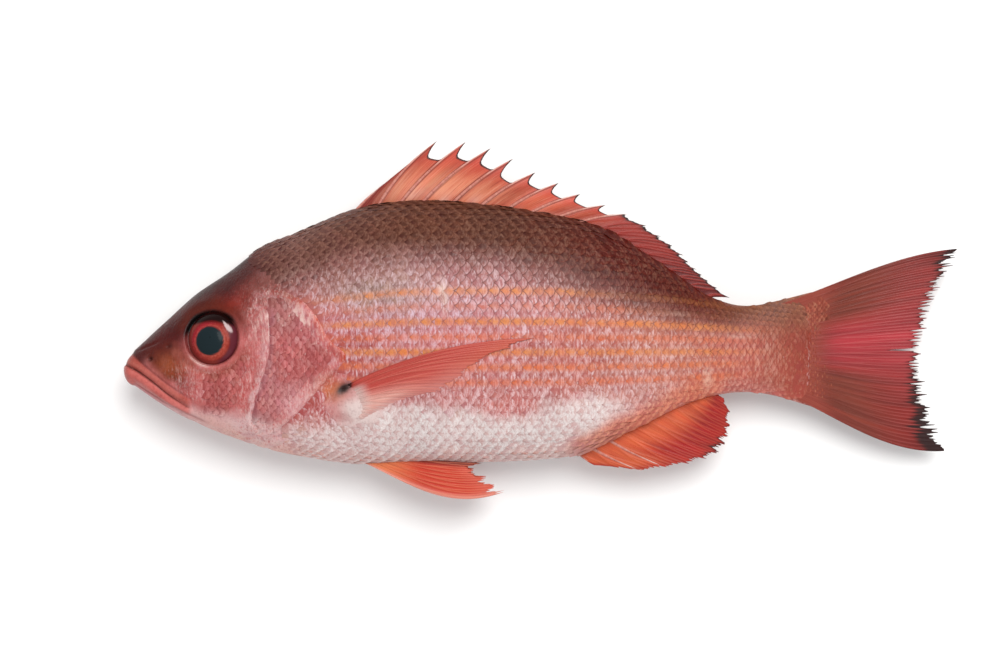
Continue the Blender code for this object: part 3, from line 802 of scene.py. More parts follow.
def head_fleck(x, y):
    """How much pale streaking, which is painted highlight, and mottling the bare skin shows: most on the gill
    cover, least on forehead and lips.
    """
    under_back = back_line(x) - y
    behind = ease((x + 140.0) / 14.0) * ease((under_back - 16.0) / 12.0)
    cheek = ease((-14.0 - y) / 10.0) * ease((y - maxilla_line(x) + 4.0) / 8.0) * ease((x + 172.0) / 12.0)
    under = ease((jaw_line(x) - y) / 4.0)
    bare = 0.2 * ease((x + 168.0) / 20.0) * ease((under_back - 4.0) / 12.0)
    root = np.minimum(1.4 * patch_at(x, y, -82.0, -39.0, 13.0, 10.0), 1.0)
    total = np.clip(bare + 0.85 * behind + 0.7 * cheek + 0.6 * under, 0.0, 1.0)
    total = total * (1 - bump_at(eye_distance(x, y), 16.0)) * (1 - 0.9 * root)
    brow = bump_at(eye_distance(x, y) - 14.0, 3.5) * ease((y - EYE_Y) / 6.0)
    pit = patch_at(x, y, -88.3, -30.8, 4.5, 4.5)
    return total - 0.5 * np.clip(1.3 * np.maximum(pit, brow), 0, 1)


def make_skin_material():
    made, tree, shader = new_material("bare_skin", 0.4, 0.07, 0.15, 0.15)
    fleck, fold = shader_attribute(tree, "fleck"), shader_attribute(tree, "fold")
    broad = noise(tree, EVEN, 120.0, 5.0, 0.62)
    small = noise(tree, EVEN, 800.0, 4.0, 0.65)
    strokes = noise(tree, (1.0, 0.32, 1.0), 950.0, 5.0, 0.66)
    hairs = noise(tree, (1.0, 0.2, 1.0), 2000.0, 3.0, 0.6)
    wrinkle_shading = noise(tree, (1.0, 0.36, 1.0), 420.0, 4.0, 0.6)
    # The pale strokes and hairs are painted highlights, in place of the wet skin's glints
    bright = mix_colour(tree, steps(tree, fleck, 0.2, 0.6), seen(150, 88, 76), seen(230, 188, 184))
    pale = product(tree, steps(tree, strokes, 0.46, 0.76, 0.0, 0.66), steps(tree, fleck, -0.1, 0.8))
    tone = layered(
        tree, shader_attribute(tree, "tone", "Color"),
        (steps(tree, broad, 0.36, 0.54, 0.55, 0.0), (0.68, 0.5, 0.5), "MULTIPLY"),
        (steps(tree, small, 0.34, 0.5, 0.4, 0.0), (0.6, 0.5, 0.5), "MULTIPLY"),
        (product(tree, steps(tree, broad, 0.48, 0.7, 0.0, 0.6), fleck), seen(204, 148, 154)),
        (product(tree, steps(tree, small, 0.5, 0.7, 0.0, 0.6), fleck), seen(192, 66, 62)),
        (product(tree, steps(tree, strokes, 0.3, 0.5, 0.55, 0.0), fleck), seen(156, 66, 66)),
        (pale, bright),
        (product(tree, steps(tree, hairs, 0.5, 0.78, 0.0, 0.5), fleck), seen(238, 204, 198)),
        # Painted shade and painted highlights of the gill cover's wrinkles
        (product(tree, steps(tree, wrinkle_shading, 0.36, 0.5, 0.9, 0.0), fold), seen(136, 76, 84)),
        (product(tree, steps(tree, wrinkle_shading, 0.46, 0.62, 0.0, 0.9), fold), seen(238, 214, 204)),
    )
    height = maths(tree, "ADD", product(tree, small, 0.6), product(tree, strokes, 1.4))
    join_shader(tree, shader, tone, height, 0.5, 0.0005, steps(tree, broad, 0.35, 0.65, 0.28, 0.44))
    return made


def make_scale_material():
    made, tree, shader = new_material("scales", 0.42, 0.04, 0.2, 0.14)
    plate = shader_attribute(tree, "plate", "Vector")
    along, across, _ = add_node(tree, "ShaderNodeSeparateXYZ", {0: plate}).outputs
    side = maths(tree, "ABSOLUTE", across)
    grain = noise(tree, (1.0, 0.26, 1.0), 1050.0, 4.0, 0.62)
    fine = noise(tree, (1.0, 0.5, 1.0), 2600.0, 3.0, 0.6)
    patches = noise(tree, EVEN, 90.0, 4.0, 0.6)
    # The root tone: painted shade where a scale comes out from under the one in front, laid on the front of the
    # exposed part; patches and grain also lay it on as random mottling
    dark_tone = shader_attribute(tree, "root", "Color")
    smudge = product(
        tree, steps(tree, along, 0.3, 0.5), steps(tree, along, 0.8, 0.96, 1.0, 0.1),
        steps(tree, side, 0.2, 0.62, 1.0, 0.0), steps(tree, grain, 0.34, 0.6, 0.4, 1.1),
        shader_attribute(tree, "smudge"),
    )
    spot = product(
        tree, shader_attribute(tree, "spot"), steps(tree, along, 0.82, 0.98, 1.0, 0.55),
        steps(tree, grain, 0.34, 0.56, 0.45, 1.15),
    )
    # The crescent before the rear edge is a painted silvery highlight
    highlight_crescent = product(
        tree, steps(tree, along, 0.44, 0.7), steps(tree, along, 0.92, 1.0, 1.0, 0.4),
        shader_attribute(tree, "silver"), steps(tree, grain, 0.4, 0.66, 0.0, 0.95),
        maths(tree, "SUBTRACT", 1.0, product(tree, spot, 0.85)),
    )
    # The rear edge's dark rim: a dark margin, with painted shadow of the lifted edge
    edge = maths(tree, "ADD", along, product(tree, maths(tree, "POWER", side, 3.0), 0.08))
    rim = product(tree, steps(tree, edge, 0.925, 0.99), shader_attribute(tree, "rim"))
    tone = layered(
        tree, shader_attribute(tree, "tone", "Color"),
        (steps(tree, along, 0.42, 0.74, 0.75, 0.0), dark_tone),
        (steps(tree, patches, 0.36, 0.64, 0.35, 0.0), dark_tone),
        (steps(tree, grain, 0.3, 0.52, 0.85, 0.0), dark_tone),
        (smudge, seen(74, 42, 30)),
        (spot, shader_attribute(tree, "mark", "Color")),
        (highlight_crescent, shader_attribute(tree, "pale", "Color")),
        (steps(tree, fine, 0.3, 0.56, 0.55, 0.0), (0.66, 0.56, 0.56), "MULTIPLY"),
        (rim, seen(84, 44, 36)),
    )
    join_shader(tree, shader, tone, grain, 0.6, 0.0004, steps(tree, grain, 0.3, 0.7, 0.32, 0.5))
    return made


def make_fin_material():
    made, tree, shader = new_material("fin_skin", 0.42, 0.1, 0.18, 0.22)
    fan = shader_attribute(tree, "fan", "Vector")
    ridge = shader_attribute(tree, "ridge")
    streaks = noise(tree, (26.0, 1.4, 1.0), 1.0, 5.0, 0.75, fan)
    broad = noise(tree, (3.0, 1.6, 1.0), 1.0, 3.0, 0.6, fan)
    fray = product(tree, maths(tree, "SUBTRACT", streaks, 0.5), 1.6)
    ragged = maths(tree, "ADD", shader_attribute(tree, "dark"), fray)
    tone = layered(
        tree, shader_attribute(tree, "tone", "Color"),
        (steps(tree, broad, 0.42, 0.62, 0.0, 0.45), (0.8, 0.42, 0.42), "MULTIPLY"),
        (steps(tree, ridge, 0.25, 0.9, 0.0, 0.7), shader_attribute(tree, "root", "Color")),
        (steps(tree, streaks, 0.52, 0.68, 0.0, 0.5), shader_attribute(tree, "pale", "Color")),
        (steps(tree, streaks, 0.32, 0.48, 0.8, 0.0), (0.5, 0.28, 0.28), "MULTIPLY"),
        (steps(tree, ragged, 0.3, 0.9), tuple(bpy.context.scene.snapper_colours.dark)),
    )
    join_shader(tree, shader, tone, streaks, 0.6, 0.0003, steps(tree, streaks, 0.3, 0.7, 0.32, 0.5))
    return made


def make_eye_material():
    made, tree, shader = new_material("wet_eye", 0.28, 0.05, 0.08, 0.05)
    speckle = noise(tree, EVEN, 900.0, 4.0, 0.65)
    iris = shader_attribute(tree, "ridge")
    tone = layered(
        tree, shader_attribute(tree, "tone", "Color"),
        (product(tree, steps(tree, speckle, 0.44, 0.66, 0.0, 0.4), iris), seen(120, 28, 34)),
        (product(tree, steps(tree, speckle, 0.28, 0.46, 0.3, 0.0), iris), seen(184, 110, 100)),
    )
    tree.links.new(tone, shader.inputs["Base Color"])
    return made


def finish_piece(piece, material, slot, *nodes):
    """Gives a piece its material and its place in the frame's table."""
    piece.data.materials.clear()
    piece.data.materials.append(material)
    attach(piece, BODY)
    if nodes:
        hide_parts(*nodes)


def ring_places():
    """The x of every ring of the skin: fine on the head, wider under the scales."""
    nose = SNOUT_X + NOSE_LENGTH * (1 - np.cos(np.linspace(0.12, math.pi / 2, 12)))
    head = np.arange(nose[-1] + 0.62, -84.0, 0.62)
    trunk = np.linspace(head[-1] + 0.8, BODY_END_X, 92)
    return np.concatenate([nose, head, trunk])


def make_skin():
    """The skin of head and trunk in one closed mesh, under the scales."""
    ends = [[SNOUT_X, SNOUT_Y, 0.0], [BODY_END_X + 0.5, (BACK_LINE[-1][1] + BELLY_LINE[-1][1]) / 2, 0.0]]
    made, points = closed_rings("skin", body_point(ring_places()[:, None], turns_round(320)), ends)
    x, y = points[:, 0], points[:, 1]
    # Where the gill cover's wrinkles get their painted highlights and shade
    fold = patch_at(x, y, -113.0, -3.0, 11.0, 8.5)
    add_values(made, tone=head_tone(x, y), fleck=head_fleck(x, y), fold=fold)
    return made


# The lattice of scales: spacing along the flank and between rows, by x
COLUMN_SPACING = [(-136, 3.6), (-125, 4.1), (-95, 4.8), (-20, 4.95), (35, 4.2), (85, 3.2), (121, 2.5)]
WIDEST_ROWS = 3.35
ROW_SPACING = [
    (-136, 2.2), (-125, 2.45), (-110, 2.7), (-85, 3.0), (-60, 3.3), (0, WIDEST_ROWS), (40, 3.1),
    (85, 2.6), (121, 2.1),
]
AXIS_ROW_Y = -14.85
# The orange stripes: row of scales, strength, and how golden instead of red
STRIPES = [
    (8, 0.8, 0.9), (6, 0.4, 0.4), (4, 1.0, 0.8), (2, 0.6, 0.2), (0, 0.95, 0.8), (-2, 0.75, 0.3),
    (-4, 0.65, 0.1),
]
column_spacing = smooth_line(COLUMN_SPACING)
row_spacing = smooth_line(ROW_SPACING)


def columns_along(start, end, spacing):
    """A function from a column's number to its x."""
    places = [start]
    while places[-1] < end:
        places.append(places[-1] + float(spacing(np.array(places[-1]))))
    return lambda number: np.interp(number, np.arange(len(places)), places), len(places)


def turns_for_rows(x, row, axis_y, spacing):
    """The turn at which each seat lies, so that rows are evenly spaced over the curved flank."""
    turns = np.radians(np.linspace(-100.0, 100.0, 121))
    back, belly, half = section(x[:, None])
    reach = (back - belly) / 2
    power = np.where(turns > 0, BACK_POINTEDNESS, BELLY_POINTEDNESS)
    y = (back + belly) / 2 + reach * np.sin(turns)
    z = half * np.sign(np.cos(turns)) * np.abs(np.cos(turns)) ** power
    pieces = np.hypot(np.diff(y, axis=1), np.diff(z, axis=1))
    arc = np.concatenate([np.zeros((len(x), 1)), np.cumsum(pieces, axis=1)], axis=1)
    axis_turn = turn_at(x, np.full_like(x, axis_y))
    seats = np.empty(len(x))
    for i in range(len(x)):
        target = np.interp(axis_turn[i], turns, arc[i]) + row[i] * spacing[i]
        seats[i] = np.interp(target, arc[i], turns, left=np.nan, right=np.nan)
    return seats


def lattice(start, end, spacing, rows, axis_y, between_rows):
    """x, turn and row of every seat of a staggered lattice on the left flank."""
    place, count = columns_along(start, end, spacing)
    numbers, row = np.meshgrid(np.arange(count - 1, dtype=float), np.arange(*rows), indexing="ij")
    numbers = numbers + 0.5 * (row % 2)
    x, row = place(numbers).ravel(), row.ravel()
    turn = turns_for_rows(x, row, axis_y, between_rows(x))
    keep = np.isfinite(turn)
    return x[keep], turn[keep], row[keep]


def seat_frames(x, turn, side):
    """Place and facing of every seat: X to the tail, Y along the flank and Z out."""
    step, turn_step = 0.6, 0.02

    def place(at, at_turn):
        return to_frame(body_point(at, at_turn) * (1, 1, side))

    along = place(x + step, turn) - place(x - step, turn)
    up = place(x, turn + turn_step) - place(x, turn - turn_step)
    return place(x, turn), facings_of(along, np.cross(along, up) * side)


def facings_of(along, out):
    """Euler turns that bring X to along and Z to out."""
    facings = np.empty((len(along), 3))
    for i in range(len(along)):
        x_axis = Vector(along[i]).normalized()
        y_axis = Vector(out[i]).normalized().cross(x_axis).normalized()
        facings[i] = Matrix((x_axis, y_axis, x_axis.cross(y_axis))).transposed().to_euler()
    return facings


PLATE_POINTS = 7


def make_plate():
    """One scale: rounded behind, domed, rising to its rear edge. One unit long, wide and high."""
    steps_along = np.linspace(0, 1, PLATE_POINTS)
    along, across = np.meshgrid(steps_along, 2 * steps_along - 1, indexing="ij")
    rear = -0.36 * np.abs(across) ** 2.2
    x = mix(-1.0, rear, along)
    y = across * 0.5 * mix(0.8, 1.0, ease(along * 1.4))
    z = along + 0.18 * (1 - across ** 2) - 0.5 - 0.8 * np.maximum(0.0, 1 - along / 0.35) ** 2
    faces = grid_faces(PLATE_POINTS, PLATE_POINTS)[:, ::-1]
    plate = new_mesh_object("scale_plate", np.stack([x, y, z], axis=-1), faces)
    add_values(plate, plate=np.stack([along, across, np.zeros_like(along)], axis=-1).reshape(-1, 3))
    return plate


def named_attribute(tree, name, data_type):
    made = add_node(tree, "GeometryNodeInputNamedAttribute", {"Name": name}, data_type=data_type)
    return next(s for s in made.outputs if s.enabled and s.name == "Attribute")


def node_group(name, output, inputs):
    """A Geometry Nodes tree. Returns it, its inputs' identifiers by name, and their sockets."""
    tree = bpy.data.node_groups.new(name, "GeometryNodeTree")
    sockets = {}
    for key, kind in inputs.items():
        item = tree.interface.new_socket(name=key, in_out="INPUT", socket_type="NodeSocket" + kind)
        sockets[key] = item.identifier
    tree.interface.new_socket(name=output, in_out="OUTPUT", socket_type="NodeSocketGeometry")
    return tree, sockets, tree.nodes.new("NodeGroupInput").outputs


def end_tree(tree, shape, finish):
    """Ends a tree: its instances made real, with their material set."""
    shape = node_value(tree, "GeometryNodeRealizeInstances", {0: shape})
    shape = node_value(tree, "GeometryNodeSetMaterial", {"Geometry": shape, "Material": finish})
    add_node(tree, "NodeGroupOutput", {0: shape})


def make_scale_tree():
    """Sets one plate on every seat, turned and sized by the seat's own values."""
    tree, sockets, given = node_group("Scales on seats", "Scales", {
        "Seats": "Geometry", "Plate": "Object", "Length": "Float", "Width": "Float", "Lift": "Float",
        "Finish": "Material",
    })
    plate = add_node(tree, "GeometryNodeObjectInfo", {"Object": given["Plate"]}).outputs["Geometry"]
    lift = product(tree, given["Lift"], named_attribute(tree, "rise", "FLOAT"))
    size = node_value(tree, "ShaderNodeCombineXYZ", {0: given["Length"], 1: given["Width"], 2: lift})
    scale = {0: size, "Scale": named_attribute(tree, "size", "FLOAT")}
    size = node_value(tree, "ShaderNodeVectorMath", scale, operation="SCALE")
    facing = {0: named_attribute(tree, "facing", "FLOAT_VECTOR")}
    facing = node_value(tree, "FunctionNodeEulerToRotation", facing)
    links = {"Points": given["Seats"], "Instance": plate, "Rotation": facing, "Scale": size}
    end_tree(tree, node_value(tree, "GeometryNodeInstanceOnPoints", links), given["Finish"])
    return tree, sockets


def realized(name, obj, tree, sockets, inputs):
    """A plain mesh object of what a node tree makes of an object, which is then removed."""
    modifier = obj.modifiers.new("Nodes", "NODES")
    modifier.node_group = tree
    for key, value in inputs.items():
        modifier[sockets[key]] = value
    bpy.context.view_layer.update()
    graph = bpy.context.evaluated_depsgraph_get()
    made = smooth_object(name, bpy.data.meshes.new_from_object(obj.evaluated_get(graph)))
    made.data.name = name
    bpy.data.objects.remove(obj)
    return made


def body_seats():
    """Seats of the flank's scales. The fin's fleshy root and the tail stalk's sharp edges stay bare."""
    x, turn, row = lattice(-136.0, 122.0, column_spacing, (-26, 27), AXIS_ROW_Y, row_spacing)
    y = body_point(x, turn)[..., 1]
    widest = mix(86.0, 66.0, ease((x - 15.0) / 60.0))
    bare = np.hypot((x + 81.0) / 13.0, (y + 38.5) / 10.0) < 1.0
    bare = bare | (np.hypot((x + 89.0) / 9.0, (y + 30.0) / 7.0) < 1.0)
    keep = (x > scaled_from(y)) & (np.abs(turn) < np.radians(widest)) & ~bare
    return x[keep], turn[keep], row[keep]


def stripe_share(x, y, seats):
    """How strongly and how golden the orange stripes show: one along every second row of scales."""
    seat_x, seat_y, row = seats
    share, golden = np.zeros_like(x), np.zeros_like(x)
    for number, strength, gold in STRIPES:
        on_row = row == number
        order = np.argsort(seat_x[on_row])
        line = np.interp(x, seat_x[on_row][order], seat_y[on_row][order])
        patchy = mix(0.75, 1.1, 0.5 + 0.5 * uneven(x, y + 9.0 * number, 7.0, 60))
        here = strength * patchy * np.exp(-(np.abs(y - line) / 1.75) ** 3)
        golden = np.where(here > share, gold, golden)
        share = np.maximum(share, here)
    return share, golden


def scale_colours(x, y, luck, seats):
    """The scales' colours at every point. Luck holds four random values of the point's own scale."""
    back = ease((y - back_border(x)) / 28.0 + 0.5)
    hind = ease((x - 40.0) / 50.0)
    vent, keel = vent_share(x, y), keel_share(x, y)
    border = belly_border(x) + 4.0 * uneven(x, y, 7.0, 41) + 1.5 * uneven(x, 0.4 * y, 1.8, 44)
    white = ease((border - y) / 8.0 + 0.4) * ease((45.0 - x) / 20.0) * ease((x + 120.0) / 20.0) * (1 - vent)
    tone = blend_tone(body_tone(x, y) * mix(0.9, 1.1, luck[:, :1]), seen(226, 216, 214), 0.5 * white)
    tone = tone * (1 + 0.09 * uneven(x, y, 14.0, 42) + 0.05 * uneven(x, y, 5.0, 43))[:, None]
    hue = mix(np.array([1.0, 0.84, 0.94]), np.array([1.08, 1.0, 0.82]), luck[:, 1:2])
    # Root: a darker copy of the tone, for the painted shade where each scale comes out from under the one in
    # front
    root = painted(
        tone * mix(0.74, 0.52, back)[:, None] * hue,
        (seen(208, 168, 166), 0.85 * np.maximum(white, keel)),
        (seen(186, 92, 92), 0.35 * (1 - back) * (1 - white) * (1 - dun_share(x, y))),
    )
    # Pale: the tints of the painted silvery highlight
    pale = painted(
        seen(236, 206, 208),
        (seen(224, 200, 216), patch_at(x, y, -60.0, 0.0, 60.0, 22.0)),
        (seen(228, 172, 150), 0.8 * hind * (1 - back)),
        (seen(238, 232, 230), white),
        (seen(150, 112, 94), back ** 1.5),
        (seen(150, 84, 44), back * hind),
        (seen(230, 160, 130), vent),
    )
    stripe, golden = stripe_share(x, y, seats)
    spot = 1.25 * stripe * mix(0.62, 1.0, luck[:, 2]) * (1 - 0.5 * ease((back - 0.35) / 0.5)) * (1 - white)
    spot = spot * ease((x + 112.0) / 36.0) * ease((112.0 - x) / 50.0)
    golden = np.clip(golden + 0.4 * (luck[:, 3] - 0.5), 0.0, 1.0)
    mark = painted(
        bpy.context.scene.snapper_colours.stripe,
        (seen(214, 136, 86), golden), (seen(150, 92, 56), 0.8 * ease((back - 0.3) / 0.5)),
    )
    smudge = 0.8 * ease((back - 0.35) / 0.4) * mix(0.3, 1.0, luck[:, 2])
    outlined = within(x, -50.0, 60.0, 45.0) * within(y, 2.0, 34.0, 16.0)
    outlined = outlined + 0.6 * hind * ease((y + 26.0) / 14.0)
    # Rim: dark margins, with painted shadow of the lifted rear edges
    rim = np.clip(0.7 * outlined + 0.2 * back + 0.08 + 0.35 * spot, 0.0, 0.8) * mix(0.55, 1.0, luck[:, 0])
    rim = rim * (1 - 0.75 * white) * (1 - 0.9 * keel)
    # How strongly the painted silvery highlight shows
    silver = np.clip(mix(0.85, 0.5, back) - 0.1 * white - 0.3 * hind, 0, 1) * mix(0.5, 1.0, luck[:, 3])
    silver = silver * (1 - 0.65 * ease((x - 98.0) / 16.0))
    for scar_x, scar_y, length, height, paleness in SCARS:
        near = paleness * patch_at(x, y, scar_x, scar_y, length * 1.3, height)
        tone = blend_tone(tone, seen(236, 216, 200), near)
        rim, spot = rim * (1 - near), spot * (1 - near)
    colours = {"tone": tone, "root": root, "mark": mark, "pale": pale}
    colours = {name: np.clip(colour, 0, 1) for name, colour in colours.items()}
    return {**colours, "spot": spot, "smudge": smudge, "rim": rim, "silver": silver}


def wedge_share(number, share):
    """How brown the tail fin is, from 0 to 1: in a wedge above and one below the middle rays."""
    return ease((0.95 - share) / 0.5) * ease((np.abs(number - MIDDLE_RAY) - 1.4) / 2.6)


def tail_tone(number, share):
    """Colour of the tail fin's skin by ray and by share of the ray's length."""
    from_middle = np.abs(number - MIDDLE_RAY)
    tone = painted(
        seen(140, 54, 52),
        (seen(132, 44, 38), ease((number - 9.0) / 5.0)),
        (seen(176, 60, 68), 0.9 * bump_at(from_middle, 2.6) * ease((share - 0.26) / 0.25)),
        (seen(124, 64, 52), 0.92 * wedge_share(number, share)),
        (seen(148, 62, 54), 0.5 * ease((from_middle - 6.2) / 1.8) * ease((0.7 - share) / 0.4)),
    )
    tone = tone * (1 + 0.24 * uneven(number * 3.0, share * 2.0, 1.0, 51))[..., None]
    return blend_tone(tone, seen(150, 74, 62), ease((0.42 - share) / 0.18))


def tail_seats(side):
    """Places, facings and sizes of the small scales that run out over the tail fin's root."""
    columns, between_rows = smooth_line([(110, 2.3), (150, 1.7)]), smooth_line([(110, 1.9), (150, 1.4)])
    x, _, row = lattice(113.0, 152.0, columns, (-20, 40), AXIS_ROW_Y, between_rows)
    height = 1.0 - (row - row.min()) / (row.max() - row.min())
    rng = np.random.default_rng(4)
    reach = mix(124.0, 131.0, bump_at(np.abs(height - 0.5) - 0.3, 0.15)) + rng.uniform(-5.0, 1.0, len(x))
    keep = (x < reach) & (height > 0.04) & (height < 0.96)
    x, row, height = x[keep], row[keep], height[keep]
    fan = (x - TAIL_ROOT_X) / (tail_edge_x(height) - TAIL_ROOT_X)
    root_y = mix(TAIL_ROOT_TOP, TAIL_ROOT_BOTTOM, height)
    y = mix(root_y, tail_edge_y(height), fan)
    z = side * (tail_half(fan) + 0.1)
    here = to_frame(np.stack([x, y, z + ripple(np.stack([x, y], -1), fan)], -1))
    nearer = np.stack([x - 1.0, mix(y, root_y, 1.0 / (x - TAIL_FAN_X)), z], -1)
    out = np.broadcast_to(np.array([0.0, 0.0, float(side)]), here.shape)
    facing = facings_of(here - to_frame(nearer), out)
    tone = tail_tone((TAIL_RAYS - 1) * height, fan) * rng.normal(1.0, 0.1, (len(x), 1))
    size, rise = mix(0.62, 0.36, (x - 110.0) / 34.0), mix(0.65, 0.3, ease((x - 118.0) / 20.0))
    return (x, y, row, here, facing, size, rise), tone


def tail_half(share):
    """Half the thickness of the tail fin between its rays, from the root to the edge."""
    return mix(1.6, 0.18, ease(share / 0.42) ** 0.7)


def head_seats():
    """Seats of the small scales on the gill cover and cheek."""
    columns, between_rows = smooth_line([(-150, 3.2), (-90, 3.5)]), smooth_line([(-150, 2.0), (-90, 2.2)])
    x, turn, row = lattice(-150.0, -88.0, columns, (-14, 20), -22.0, between_rows)
    y = body_point(x, turn)[..., 1]
    front = ahead_of(cheek_edge, x, y)
    cover = (ahead_of(gill_edge, x, y) > 4.0) & (front < -3.0) & (y > -46.0) & (y < 10.0)
    cheek = (front > 7.0) & (eye_distance(x, y) > 17.0) & (y < -16.0) & (y > -42.0) & (x > -148.0)
    keep = cover | cheek
    return x[keep], turn[keep], row[keep]


def make_scales(name, seats, sizes, plate, tree, sockets, material, seed, tone=None):
    """One piece of scales, coloured by where its points lie.

    Seats are x, y, row, places, facings, sizes and rises.
    """
    x, y, row, here, facing, size, rise = seats
    rng = np.random.default_rng(seed)
    holder = new_mesh_object(name + "_seats", here, np.empty((0, 3), int))
    on_head = "head" in name
    unruly = 0.03 if on_head else 0.01
    add_values(
        holder, facing=facing + rng.normal(0.0, unruly, facing.shape), rise=rise * np.ones(len(x)),
        size=size * rng.uniform(1 - 3 * unruly, 1 + 3 * unruly, len(x)),
    )
    inputs = dict(zip(("Length", "Width", "Lift"), sizes), Plate=plate, Finish=material)
    made = realized(name, holder, tree, sockets, inputs)
    owner = np.repeat(np.arange(len(x)), PLATE_POINTS ** 2)
    luck = rng.random((len(x), 4))[owner]
    places = np.empty(len(owner) * 3)
    made.data.vertices.foreach_get("co", places)
    point_x, point_y = places[0::3] / MM, places[1::3] / MM
    colours = scale_colours(point_x, point_y, luck, (x, y, row))
    none = np.zeros_like(point_x)
    if on_head:
        skin = head_tone(point_x, point_y)
        # Head scales: a darker copy of the skin as painted shade at each root, and a pale tint as painted
        # highlight
        colours.update(
            tone=skin * mix(0.85, 1.15, luck[:, :1]) * mix(0.95, 1.05, luck[:, 1:]),
            root=skin * np.array(seen(255, 226, 228)) * 0.85,
            pale=blend_tone(skin, seen(236, 200, 198), mix(0.3, 0.7, luck[:, 3])),
            silver=head_fleck(point_x, point_y) * mix(0.05, 0.6, luck[:, 2]), spot=none, smudge=none, rim=none,
        )
    if tone is not None:
        fade = ease((point_x - 120.0) / 18.0)
        tone = tone[owner]
        # Tail scales: a darker copy of the tone as painted shade at each root, and a pale tint as painted
        # highlight
        colours.update(
            tone=np.clip(tone * mix(1.15, 1.2, fade)[:, None], 0, 1),
            root=np.clip(tone * mix(0.8, 0.95, fade)[:, None], 0, 1),
            pale=blend_tone(tone, seen(190, 134, 106), mix(0.6, 0.3, fade)),
            silver=mix(0.3, 1.0, luck[:, 2]), rim=colours["rim"] * mix(0.3, 0.05, fade), spot=none, smudge=none,
        )
    add_values(made, **colours)
    return made


def flank_seats(seats, side, scaled=True):
    """A lattice's seats on one flank, with place, facing, size and rise."""
    x, turn, row = seats
    here, facing = seat_frames(x, turn, side)
    y = body_point(x, turn)[..., 1]
    size = row_spacing(x) / WIDEST_ROWS if scaled else np.ones(len(x))
    rise = mix(0.2, 1.0, ease((math.radians(82) - np.abs(turn)) / math.radians(40)))
    if scaled:
        behind_head, at_tail = ease((x - scaled_from(y)) / 10.0), ease((x - 104.0) / 14.0)
        rise = rise * mix(0.55, 1.0, behind_head) * mix(1.0, 0.25, at_tail)
        low = ease((belly_line(x) + 6.5 - y) / 3.0) * within(x, -128.0, 20.0, 16.0)
        size, rise = size * mix(1.0, 0.64, low), rise * mix(1.0, 0.75, low)
    return x, y, row, here, facing, size, rise


def ray_ridges(between, share, splits, width):
    """Height of a ray's branches at each place between two rays, from 0 to 1."""
    apart = 0.25 * ease((share - 0.15) / 0.5) * (splits > 0)
    apart_more = 0.125 * ease((share - 0.4) / 0.45) * (splits > 1)
    height = np.zeros_like(between + share)
    for ray, first, second in itertools.product((0, 1), (-1, 1), (-1, 1)):
        centre = ray + first * apart + second * apart_more
        height = np.maximum(height, bump_at(between - centre, width))
    return height


def fin_grid(roots, tips, bows, gaps, reach, rows, swell=1.0):
    """Points of a fin in the side view, and each point's ray number and share of the length.

    Bows gives each ray's bend, as a share of its length. Swell moves the bend towards the tip. Gaps
    is the number of places from one ray to the next, or a list of them.
    """
    roots, tips = np.array(roots, float), np.array(tips, float)
    bows = np.interp(np.arange(len(roots)), *zip(*bows))
    gaps = np.linspace(0, 1, gaps, endpoint=False) if isinstance(gaps, int) else np.array(gaps)
    number = (np.arange(len(roots) - 1)[:, None] + gaps).ravel()
    number = np.append(number, len(roots) - 1.0)
    share = np.linspace(0.0, 1.0, rows)[None, :] * reach(number)[:, None]
    peak = (swell / (swell + 1.0)) ** swell / (swell + 1.0)

    def on_ray(index):
        root, tip = roots[index][:, None], tips[index][:, None]
        along = tip - root
        bend = np.maximum(share, 0.0) ** swell * (1 - share) / peak
        lift = (bows[index][:, None] * bend)[..., None]
        return root + along * share[..., None] + np.stack([-along[..., 1], along[..., 0]], -1) * lift

    index = np.minimum(number.astype(int), len(roots) - 2)
    between = (number - index)[:, None]
    flat = mix(on_ray(index), on_ray(index + 1), between[..., None])
    return flat, np.broadcast_to(number[:, None], share.shape), share


def jagged(number, seed, size):
    """Small random notches along a fin's free edge, none at its ends."""
    rng = np.random.default_rng(seed)
    places = np.arange(0.0, number.max() + 1.0, 0.07)
    ends = ease(number / 0.5) * ease((number.max() - number) / 0.5)
    return ends * np.interp(number, places, rng.uniform(0.0, size, len(places)) ** 1.5 / size ** 0.5)


def soft_reach(number, seed, notches, depth, power):
    """How far the skin reaches between soft rays, as a share of their length: scooped and jagged."""
    return 1.0 - depth * np.sin(np.pi * (number % 1.0)) ** power - jagged(number, seed, notches)


def make_fin(name, flat, middle, thickness, fan, **values):
    """A fin's closed thin solid, with its values on both faces. Its streaks run along the fan's grids."""
    upper = np.concatenate([flat, (middle + thickness / 2)[..., None]], axis=-1)
    lower = np.concatenate([flat, (middle - thickness / 2)[..., None]], axis=-1)
    made = sheet_solid(name, to_frame(upper), to_frame(lower))
    values["fan"] = np.stack([*fan, np.zeros_like(thickness)], -1)
    add_values(made, **{key: np.concatenate([v.reshape(-1, *v.shape[2:])] * 2) for key, v in values.items()})
    return made


def ripple(flat, share):
    return 0.9 * share * np.sin(flat[..., 0] * 0.075 + flat[..., 1] * 0.05)


def line_roots(line, rays, inwards):
    return [(x, float(line(np.array(float(x)))) + inwards * ROOT_DEPTH) for x, _, _ in rays]


def tips_of(rays):
    return [(x, y) for _, x, y in rays]


def spiny_reach(number):
    """How far the skin reaches up the fin behind each spine, as a share of the spines' length."""
    behind = number % 1.0
    notch = np.interp(behind, [0, 0.06, 0.16, 0.3, 0.45, 0.7, 0.9, 0.97, 1.0],
                      [1, 0.95, 0.87, 0.78, 0.73, 0.71, 0.7, 0.72, 1.0])
    depth = np.interp(np.floor(number), [0, 1, 2, 3, 4, 5], [1.0, 0.96, 0.82, 0.86, 1.1, 0.88])
    notch = 1.0 - (1.0 - notch) * depth
    soft = 1.0 - 0.09 * np.sin(np.pi * behind) ** 0.7 - jagged(number, 3, 0.06)
    return np.where(number < 1.0, 1.0, np.where(number < len(DORSAL_SPINES) - 1, notch, soft))


